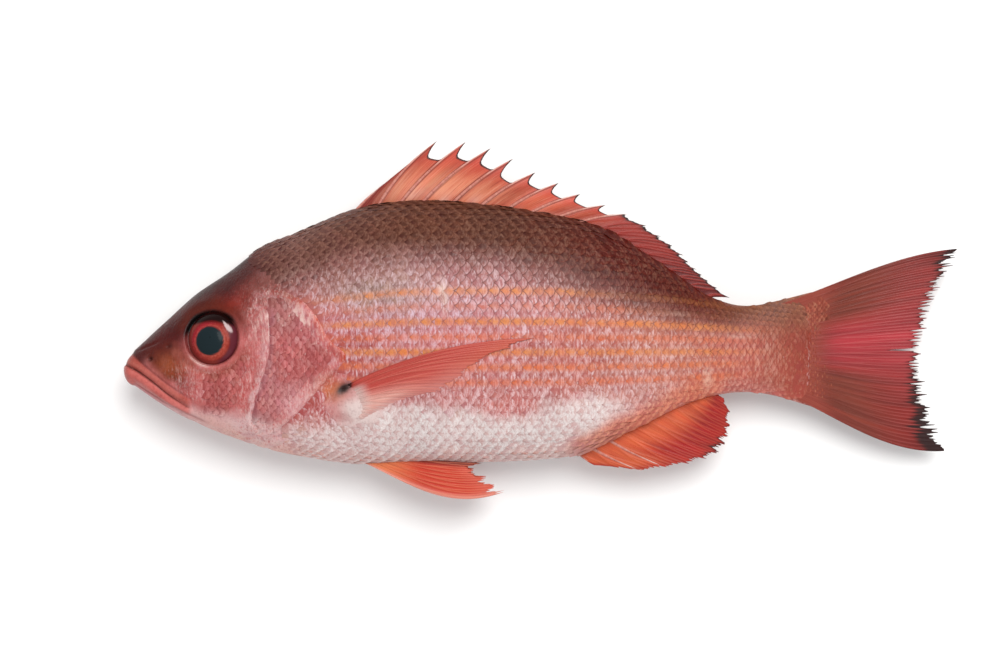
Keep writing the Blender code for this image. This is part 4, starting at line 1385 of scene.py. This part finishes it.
def dorsal_tone(number, share):
    early, between = number < 10, number % 1.0
    tone = painted(
        seen(196, 96, 72),
        (seen(228, 150, 118), 0.8 * bump_at(share - 0.35, 0.22) * ease((7.0 - number) / 4.0)),
        (seen(196, 124, 84), 0.6 * ease((0.25 - share) / 0.2) * ease((6.0 - number) / 4.0)),
        (seen(202, 84, 70), ease((share - 0.5) / 0.35)),
        (seen(146, 54, 48), ease((number - 7.0) / 4.0)),
        (seen(104, 32, 28), ease((number - 12.0) / 5.0)),
    )
    tone = tone * (1 + 0.2 * uneven(number * 3.0, share * 2.0, 1.0, 53))[..., None]
    outline = np.maximum(bump_at(between - 0.075, 0.03), bump_at(between - 0.925, 0.03)) * early
    whitish = ease((0.42 - share) / 0.3) * ease(uneven(number * 2.2, share * 3.0, 1.0, 54) / 0.7) * early
    return painted(
        tone,
        (seen(134, 46, 42), ease((1.6 - number) / 1.4)),
        (seen(236, 186, 172), 0.6 * whitish * ease(number - 1.0)),
        (seen(116, 50, 44), 0.85 * outline),
    )


def make_dorsal_fin():
    rays = DORSAL_SPINES + DORSAL_SOFT_RAYS
    flat, number, share = fin_grid(
        line_roots(back_line, rays, -1), tips_of(rays), DORSAL_BOWS, DORSAL_GAPS, spiny_reach, 46,
    )
    between = number % 1.0
    soft = (number >= len(DORSAL_SPINES) - 1).astype(float)
    ridge = ray_ridges(between, share, 0, 0.045) * (1 - soft) + ray_ridges(between, share, 1, 0.11) * soft
    thick = bpy.context.scene.snapper_fins.skin / MM + ridge * mix(0.7, 0.5, soft) * (1 - 0.7 * share)
    pleat = 1.1 * np.sin(2 * math.pi * between) * (1 - soft) * share * (1 - share)
    edge = share / np.maximum(spiny_reach(number), 0.05)
    dark = 1.05 * ease((edge - 0.945) / 0.055) + 0.6 * soft * ease((edge - 0.7) / 0.3)
    dark = dark + 0.35 * (1 - soft) * ease((share - 0.72) / 0.25) * ease((number - 1.5) / 2.0)
    return make_fin(
        "dorsal_fin", flat, ripple(flat, share) + pleat, thick, (number, share), ridge=ridge, dark=dark,
        tone=dorsal_tone(number, share), root=painted(seen(208, 150, 138), (seen(166, 66, 60), soft)),
        pale=painted(seen(238, 178, 156), (seen(190, 92, 84), soft)),
    )


def make_anal_fin():
    def reach(number):
        return soft_reach(number, 5, 0.1, 0.05, 0.8) + 0.03

    flat, number, share = fin_grid(
        line_roots(belly_line, ANAL_RAYS, 1), tips_of(ANAL_RAYS), [(0, -0.06), (3, -0.03)], 22, reach, 50
    )
    ridge = ray_ridges(number % 1.0, share, 2, 0.06)
    thick = bpy.context.scene.snapper_fins.skin / MM + 0.7 * ridge * (1 - 0.6 * share)
    tone = painted(
        seen(210, 98, 64),
        (seen(162, 36, 37), ease((share - 0.3) / 0.35) * ease((number - 1.5) / 2.0)),
        (seen(168, 46, 42), 0.8 * ease((share - 0.72) / 0.25)),
    )
    tone = tone * (1 + 0.2 * uneven(number * 3.0, share * 2.0, 1.0, 52))[..., None]
    edge = share / np.maximum(reach(number), 0.05)
    dark = 0.55 * ease((edge - 0.9) / 0.1) * ease((number - 2.0) / 2.0)
    smudge = patch_at(flat[..., 0], flat[..., 1], 74.0, -56.0, 7.0, 4.0)
    return make_fin(
        "anal_fin", flat, ripple(flat, share), thick, (number * 1.6, share), tone=tone, ridge=ridge,
        root=blend_tone(tone, seen(224, 118, 88), 0.5 * (1 - 0.6 * share)),
        pale=blend_tone(tone, seen(240, 150, 116), 0.6 * (1 - 0.5 * share)), dark=dark + 0.4 * smudge,
    )


def make_tail_fin():
    shares = np.linspace(0, 1, TAIL_RAYS)
    roots = np.linspace((TAIL_ROOT_X, TAIL_ROOT_TOP), (TAIL_ROOT_X, TAIL_ROOT_BOTTOM), TAIL_RAYS)
    tips = np.stack([tail_edge_x(shares), tail_edge_y(shares)], -1)

    def reach(number):
        fray = 0.04 * (1 - ray_ridges(number % 1.0, np.ones_like(number), 2, 0.05))
        slit = 0.16 * bump_at(number - TAIL_SLIT, 0.1)
        ends = ease(number / 0.6) * ease((TAIL_RAYS - 1 - number) / 0.6)
        return 1.0 + (0.04 - fray - jagged(number, 7, 0.08) - slit) * ends

    flat, number, share = fin_grid(roots, tips, TAIL_BOWS, 26, reach, 84, 2.0)
    ridge = ray_ridges(number % 1.0, share, 2, 0.045) * ease((share - 0.2) / 0.15)
    thick = 2 * tail_half(share) + 0.55 * ridge * (1 - 0.55 * share)
    tone = tail_tone(number, share)
    edge = share / reach(number)
    lower = ease((number - MIDDLE_RAY) / 5.0)
    lobes = ease((np.abs(number - MIDDLE_RAY) - 4.5) / 3.5)
    dark = 0.9 * ease((edge - mix(0.92, 0.87, lower)) / 0.11) + 0.55 * lobes * ease((edge - 0.5) / 0.45)
    red = 1 - 0.8 * wedge_share(number, share)
    return make_fin(
        "tail_fin", flat, ripple(flat, share), thick, (number * 1.7, share * 1.3), tone=tone, ridge=ridge,
        root=blend_tone(tone, seen(196, 108, 104), 0.45 * red * ease((share - 0.2) / 0.2)), dark=dark,
        pale=blend_tone(tone, seen(226, 132, 134), 0.6 * red),
    )


def make_pectoral_fin(side, word):
    def reach(number):
        return soft_reach(number, 11, 0.04, 0.04, 0.8)

    flat, number, share = fin_grid(
        np.linspace(*PECTORAL_ROOT, len(PECTORAL_TIPS)), PECTORAL_TIPS, [(0, 0.06), (1, 0.06)], 22, reach, 60
    )
    x, y = flat[..., 0], flat[..., 1]
    ridge = ray_ridges(number % 1.0, share, 2, 0.07)
    low = ease((number - 4.0) / 2.5)
    thick = mix(1.2, 0.14, ease(share / 0.6)) * mix(1.0, 0.6, low) + 0.4 * ridge * (1 - 0.85 * share)
    from_root = np.hypot(x - PECTORAL_ROOT[0][0], y + 36.5)
    proud = mix(-1.6, mix(0.7, 0.45, low), ease((from_root - 6.0) / 6.0))
    proud = proud - 0.62 * ease((share - 0.7) / 0.3) * ease((number - 1.0) / 2.0)
    fleshy = ease((15.0 - from_root) / 7.0) * ease((number - 0.8) / 1.5)
    tone = painted(
        seen(188, 78, 70),
        (seen(206, 108, 84), 0.5 * ease((share - 0.7) / 0.3)),
        (seen(228, 176, 164), 0.92 * ease((number - 2.6) / 2.4) * ease((1.1 - share) / 0.5)),
        (seen(216, 172, 162), 0.85 * low),
        (seen(226, 200, 194), 0.9 * fleshy),
        (body_tone(x, y), 0.65 * ease((share - 0.62) / 0.38) * ease((number - 1.2) / 2.5)),
    )
    axil = axil_patch(x, y, -87.2, -30.8, 3.0, 2.1)
    dark = 0.3 * bump_at(number, 0.3) * ease((0.8 - share) / 0.5) + 1.6 * axil
    dark = dark - 0.5 * np.maximum(low, fleshy * (1 - axil))
    return make_fin(
        "pectoral_fin_" + word, flat, side * (flank_z(x, y) + proud + thick / 2), thick,
        (number * 2.4, share), tone=tone, ridge=ridge, dark=dark,
        root=blend_tone(tone, seen(218, 122, 106), 0.5 * (1 - fleshy) * (1 - 0.7 * low)),
        pale=blend_tone(tone, seen(240, 180, 160), 0.5),
    )


def make_pelvic_fin(side, word):
    def reach(number):
        return soft_reach(number, 13, 0.07, 0.07, 0.7)

    flat, number, share = fin_grid(
        np.linspace(*PELVIC_ROOT, len(PELVIC_TIPS)), PELVIC_TIPS, PELVIC_BOWS, 24, reach, 44, 1.6
    )
    ridge = ray_ridges(number % 1.0, share, 2, 0.07)
    thick = bpy.context.scene.snapper_fins.skin / MM + 0.7 * ridge * (1 - 0.6 * share)
    # The innermost rays, by the belly, painted dark as the shadowed part of the membrane
    inner_shadow = ease((number - 3.1) / 0.8)
    tone = painted(
        seen(204, 68, 52),
        (seen(236, 140, 92), ease((0.5 - share) / 0.45)),
        (seen(222, 104, 90), 0.7 * ease((share - 0.75) / 0.2)),
        (seen(232, 164, 150), 0.85 * bump_at(number, 0.35)),
        (seen(96, 26, 22), 0.9 * inner_shadow),
    )
    return make_fin(
        "pelvic_fin_" + word, flat, side * mix(4.0, 7.0, share), thick, (number * 2.0, share), tone=tone,
        root=blend_tone(tone, seen(230, 132, 100), 0.6), pale=blend_tone(tone, seen(244, 164, 130), 0.6),
        ridge=ridge, dark=0.35 * inner_shadow * ease((share - 0.15) / 0.3),
    )


def make_spine_tree():
    """Tubes along guide lines, each as thick as its points say."""
    tree, sockets, given = node_group("Spines on lines", "Spines", {
        "Lines": "Geometry", "Thickness": "Float", "Sides": "Int", "Finish": "Material",
    })
    curve = node_value(tree, "GeometryNodeMeshToCurve", {0: given["Lines"]})
    radius = product(tree, named_attribute(tree, "girth", "FLOAT"), given["Thickness"])
    curve = node_value(tree, "GeometryNodeSetCurveRadius", {"Curve": curve, "Radius": radius})
    circle = {"Resolution": given["Sides"], "Radius": 0.5}
    ring = node_value(tree, "GeometryNodeCurvePrimitiveCircle", circle)
    links = {"Curve": curve, "Profile Curve": ring, "Fill Caps": True}
    tube = add_node(tree, "GeometryNodeCurveToMesh", links)
    if "Scale" in tube.inputs:
        tree.links.new(radius, tube.inputs["Scale"])
    end_tree(tree, tube.outputs[0], given["Finish"])
    return tree, sockets


def spine_line(root, tip, bow, points):
    share = np.linspace(0.06, 1.0, points)[:, None]
    root, tip = np.array(root), np.array(tip)
    along = tip - root
    lift = bow * 4 * share * (1 - share)
    flat = root + along * share + np.array([-along[1], along[0]]) * lift
    height = ripple(flat, share[:, 0])
    return np.column_stack([flat, height]), share[:, 0]


def make_spines(material):
    """The spines of the dorsal fin, and the anal fin's first three."""
    points = 24
    bows = [bow for _, bow in DORSAL_BOWS]
    bows += [bows[-1]] * (len(DORSAL_SPINES) - len(bows))
    full = [1.0] * len(DORSAL_SPINES)
    given = list(zip(line_roots(back_line, DORSAL_SPINES, -1), tips_of(DORSAL_SPINES), bows, full))
    bows = [-0.03] * len(ANAL_GIRTHS)
    given += zip(line_roots(belly_line, ANAL_RAYS, 1), tips_of(ANAL_RAYS), bows, ANAL_GIRTHS)
    places, shares = zip(*(spine_line(root, tip, bow, points) for root, tip, bow, _ in given))
    girths = [girth * (1.0 - share ** 1.6) * 0.92 + 0.08 for (*_, girth), share in zip(given, shares)]
    edges = [(i * points + j, i * points + j + 1) for i in range(len(given)) for j in range(points - 1)]
    holder = new_mesh_object("spine_lines", to_frame(np.concatenate(places)), [], edges)
    share = np.concatenate(shares)
    tone = painted(seen(208, 142, 128), (seen(232, 210, 202), ease((share - 0.6) / 0.3)))
    add_values(holder, girth=np.concatenate(girths), tone=tone, root=tone, ridge=share * 0, dark=share * 0,
               pale=tone, fan=np.column_stack([share * 3, share, share * 0]))
    tree, sockets = make_spine_tree()
    inputs = {"Thickness": bpy.context.scene.snapper_fins.spine, "Sides": 10, "Finish": material}
    return realized("fin_spines", holder, tree, sockets, inputs)


def eye_frame(side):
    """The middle of the eye, and its three axes: to the tail, to the back and out."""
    step = 4.0
    probe = np.array([(0, 0), (step, 0), (-step, 0), (0, step), (0, -step)]) + (EYE_X, EYE_Y)
    back, belly, half = section(probe[:, 0])
    height = np.clip((2 * probe[:, 1] - back - belly) / (back - belly), -0.999, 0.999)
    z = half * np.sqrt(1 - height ** 2) ** np.where(height > 0, BACK_POINTEDNESS, BELLY_POINTEDNESS)
    out = np.array([z[2] - z[1], z[4] - z[3], 2 * step])
    out /= np.linalg.norm(out)
    middle = np.array([EYE_X, EYE_Y, z[0]]) + out * (EYE_PROUD - EYE_HALF_DEPTH)
    tail = np.array([1.0, 0.0, 0.0]) - out * out[0]
    tail /= np.linalg.norm(tail)
    up = np.cross(out, tail)
    flip = np.array([1.0, 1.0, float(side)])
    return middle * flip, tail * flip, up * flip, out * flip


def eye_tone(x, y):
    """The eye's colour at a place seen from outside, from the middle of the opening."""
    from_pupil = np.hypot(x - PUPIL_OFFSET[0], y - PUPIL_OFFSET[1])
    ring = ease((IRIS_RADIUS - from_pupil) / 0.8 + 0.5)
    middle = 0.55 * (PUPIL_RADIUS + IRIS_RADIUS)
    iris = painted(
        seen(150, 62, 60),
        (seen(164, 78, 66), ease((x * 0.7 - y * 0.5 + 2.0) / 9.0)),
        (seen(160, 50, 64), 0.7 * ease((y * 0.7 - x * 0.6 - 1.0) / 5.0)),
        (seen(146, 56, 56), 0.4 * bump_at(from_pupil - middle, 0.6)),
        (seen(186, 92, 82), 0.5 * bump_at(from_pupil - PUPIL_RADIUS - 0.55, 0.4)),
    )
    # A painted highlight on the upper right of the eye
    along = 0.63 * (x - 7.2) - 0.77 * (y - 4.8)
    beside = 0.77 * (x - 7.2) + 0.63 * (y - 4.8)
    painted_highlight = ease((1.0 - np.hypot(beside / mix(0.5, 1.2, ease((along + 3.4) / 5.0)), along / 3.9)) / 0.35)
    pupil = ease((PUPIL_RADIUS - from_pupil) / 0.5 + 0.5)
    tone = painted(
        seen(134, 64, 60),
        (seen(98, 54, 62), 0.9 * ease((x - 4.0 - 0.3 * y) / 4.0)),
        (iris, ring),
        # The lid's painted shadow, the iris's rim, painted shade at the opening's edge, a painted highlight and
        # the pupil
        (seen(44, 24, 12), 0.97 * ease((y - 5.9 + 0.012 * (x + 1.5) ** 2) / 1.9)),
        (seen(110, 44, 44), 0.45 * bump_at(from_pupil - IRIS_RADIUS, 0.35)),
        (seen(70, 32, 28), 0.7 * ease((np.hypot(x, y) - 11.1) / 0.6)),
        (seen(216, 196, 196), 0.8 * painted_highlight),
        (seen(50, 57, 60), pupil),
    )
    return tone, ring * (1 - pupil)


def make_eye(side, word):
    """A wet domed eye: pupil, red iris and the dark skin round it, with painted shade and a painted highlight,
    in one closed ball.
    """
    turns = turns_round(96)
    lean = np.linspace(0.03, math.pi - 0.03, 64)[:, None]
    x, y = EYE_RADIUS * np.sin(lean) * np.cos(turns), EYE_RADIUS * np.sin(lean) * np.sin(turns)
    z = EYE_HALF_DEPTH * np.cos(lean)
    from_pupil = np.hypot(x - PUPIL_OFFSET[0], y - PUPIL_OFFSET[1])
    lens = LENS_RISE * ease((PUPIL_RADIUS - from_pupil) / 2.0)
    lens = lens - 0.22 * bump_at(from_pupil - PUPIL_RADIUS - 0.4, 0.5)
    z = z + lens * (z > 0)
    tone, iris = eye_tone(x, y)
    middle, tail, up, out = eye_frame(side)
    rings = middle + x[..., None] * tail + y[..., None] * up + z[..., None] * out
    ends = [middle + out * (EYE_HALF_DEPTH + LENS_RISE), middle - out * EYE_HALF_DEPTH]
    made, _ = closed_rings("eyeball_" + word, rings, ends)
    tones = np.concatenate([tone.reshape(-1, 3), [seen(26, 30, 38)] * 2])
    add_values(made, tone=tones, ridge=np.append(iris.ravel(), [0.0, 0.0]))
    return made


def material_named(name, maker):
    """The material of that name, made first if it isn't there yet."""
    return bpy.data.materials.get(name) or maker()


class SNAPPER_OT_skin(Operator):
    """Make the skin of head and trunk"""
    bl_idname = "snapper.skin"
    bl_label = "Skin"

    def execute(self, context):
        finish_piece(make_skin(), material_named("bare_skin", make_skin_material), "skin", FISH_NODE)
        return {"FINISHED"}


class SNAPPER_OT_scales(Operator):
    """Set the scales on both flanks, on the gill covers and on the root of the tail fin"""
    bl_idname = "snapper.scales"
    bl_label = "Scales"

    def execute(self, context):
        sizes = context.scene.snapper_scales
        material = material_named("scales", make_scale_material)
        plate = make_plate()
        tree, sockets = make_scale_tree()
        large = (sizes.length, sizes.width, sizes.lift)
        small = (sizes.head_length, sizes.head_width, sizes.head_lift)
        for side, word in SIDES:
            tail, tail_colours = tail_seats(side)
            kinds = (
                ("flank_scales_", flank_seats(body_seats(), side), large, None),
                ("head_scales_", flank_seats(head_seats(), side, scaled=False), small, None),
                ("tail_scales_", tail, small, tail_colours),
            )
            for seed, (name, seats, size, tone) in enumerate(kinds):
                piece = make_scales(
                    name + word, seats, size, plate, tree, sockets, material, 10 * seed + side + 1, tone
                )
                finish_piece(piece, material, "skin", FISH_NODE)
        bpy.data.objects.remove(plate)
        return {"FINISHED"}


class SNAPPER_OT_eyes(Operator):
    """Make both eyes"""
    bl_idname = "snapper.eyes"
    bl_label = "Eyes"

    def execute(self, context):
        material = material_named("wet_eye", make_eye_material)
        for side, word in SIDES:
            finish_piece(make_eye(side, word), material, "eye", "eye_" + word)
        return {"FINISHED"}


class SNAPPER_OT_fins(Operator):
    """Make the fins of the back, belly and tail, with their spines"""
    bl_idname = "snapper.fins"
    bl_label = "Fins"

    def execute(self, context):
        material = material_named("fin_skin", make_fin_material)
        for piece in (make_dorsal_fin(), make_anal_fin(), make_tail_fin(), make_spines(material)):
            finish_piece(piece, material, "skin", FISH_NODE)
        return {"FINISHED"}


class SNAPPER_OT_paired_fins(Operator):
    """Make the pectoral and pelvic fins of both sides"""
    bl_idname = "snapper.paired_fins"
    bl_label = "Paired fins"

    def execute(self, context):
        material = material_named("fin_skin", make_fin_material)
        for side, word in SIDES:
            finish_piece(make_pectoral_fin(side, word), material, "skin", FISH_NODE)
            finish_piece(make_pelvic_fin(side, word), material, "skin", FISH_NODE)
        return {"FINISHED"}


def make_area_light(name, place, size, power, colour):
    """A soft round light that points at the fish."""
    light = bpy.data.lights.new(name, "AREA")
    light.shape = "DISK"
    light.size = size
    light.energy = power
    light.color = colour
    made = bpy.data.objects.new(name, light)
    made.location = place
    made.rotation_euler = (Vector(LIGHTS_AIM) - Vector(place)).to_track_quat("-Z", "Y").to_euler()
    bpy.context.scene.collection.objects.link(made)


def make_floor():
    corners = [(-1, -1, 0), (1, -1, 0), (1, 1, 0), (-1, 1, 0)]
    made = new_mesh_object("floor", np.array(corners) * FLOOR_REACH, [[0, 1, 2, 3]])
    paper, _, shader = new_material("pale_floor", 0.9, 0.0, 0.03, 0.1)
    shader.inputs["Base Color"].default_value = (0.9, 0.9, 0.9, 1.0)
    made.data.materials.append(paper)


class SNAPPER_OT_stage(Operator):
    """Set the pale floor, the soft lights and the camera above the fish"""
    bl_idname = "snapper.stage"
    bl_label = "Stage"

    def execute(self, context):
        stage = context.scene.snapper_stage
        make_floor()
        make_area_light("key", (0.18, 0.55, 1.2), 0.95, stage.key_power, (1.0, 0.99, 0.97))
        make_area_light("fill", (0.4, -0.8, 0.9), 0.8, stage.fill_power, (0.97, 0.98, 1.0))
        world = bpy.data.worlds.new("white_room")
        world.use_nodes = True
        room = world.node_tree.nodes["Background"].inputs
        room["Color"].default_value = (1.0, 1.0, 1.0, 1.0)
        room["Strength"].default_value = stage.sky
        context.scene.world = world
        lens = bpy.data.cameras.new("camera")
        lens.lens = 100.0
        lens.sensor_width = 36.0
        camera = bpy.data.objects.new("camera", lens)
        camera.location = (CAMERA_X * MM, CAMERA_Y * MM, stage.camera_height)
        context.scene.collection.objects.link(camera)
        context.scene.camera = camera
        context.scene.view_settings.view_transform = "Standard"
        return {"FINISHED"}


class SNAPPER_PT_panel(Panel):
    """Lists the pieces of the fish"""
    bl_label = "Whole Snapper"
    bl_idname = "SNAPPER_PT_panel"
    bl_space_type = "VIEW_3D"
    bl_region_type = "UI"
    bl_category = "Snapper"

    def draw(self, context):
        for operator in OPERATORS:
            self.layout.operator(operator.bl_idname)
        for group_name in GROUPS:
            group = getattr(context.scene, group_name)
            for name in group.__annotations__:
                self.layout.prop(group, name)


GROUPS = {
    "snapper_colours": SnapperColours,
    "snapper_scales": SnapperScales,
    "snapper_fins": SnapperFins,
    "snapper_stage": SnapperStage,
}
OPERATORS = (
    SNAPPER_OT_skin, SNAPPER_OT_scales, SNAPPER_OT_eyes, SNAPPER_OT_fins, SNAPPER_OT_paired_fins,
    SNAPPER_OT_stage,
)


def register():
    for name, group in GROUPS.items():
        bpy.utils.register_class(group)
        setattr(bpy.types.Scene, name, PointerProperty(type=group))
    for made in (*OPERATORS, SNAPPER_PT_panel):
        bpy.utils.register_class(made)


def unregister():
    for made in (SNAPPER_PT_panel, *reversed(OPERATORS)):
        bpy.utils.unregister_class(made)
    for name, group in reversed(GROUPS.items()):
        delattr(bpy.types.Scene, name)
        bpy.utils.unregister_class(group)


def main():
    register()
    bpy.ops.snapper.skin()
    bpy.ops.snapper.scales()
    bpy.ops.snapper.eyes()
    bpy.ops.snapper.fins()
    bpy.ops.snapper.paired_fins()
    bpy.ops.snapper.stage()


if __name__ == "__main__":
    main()
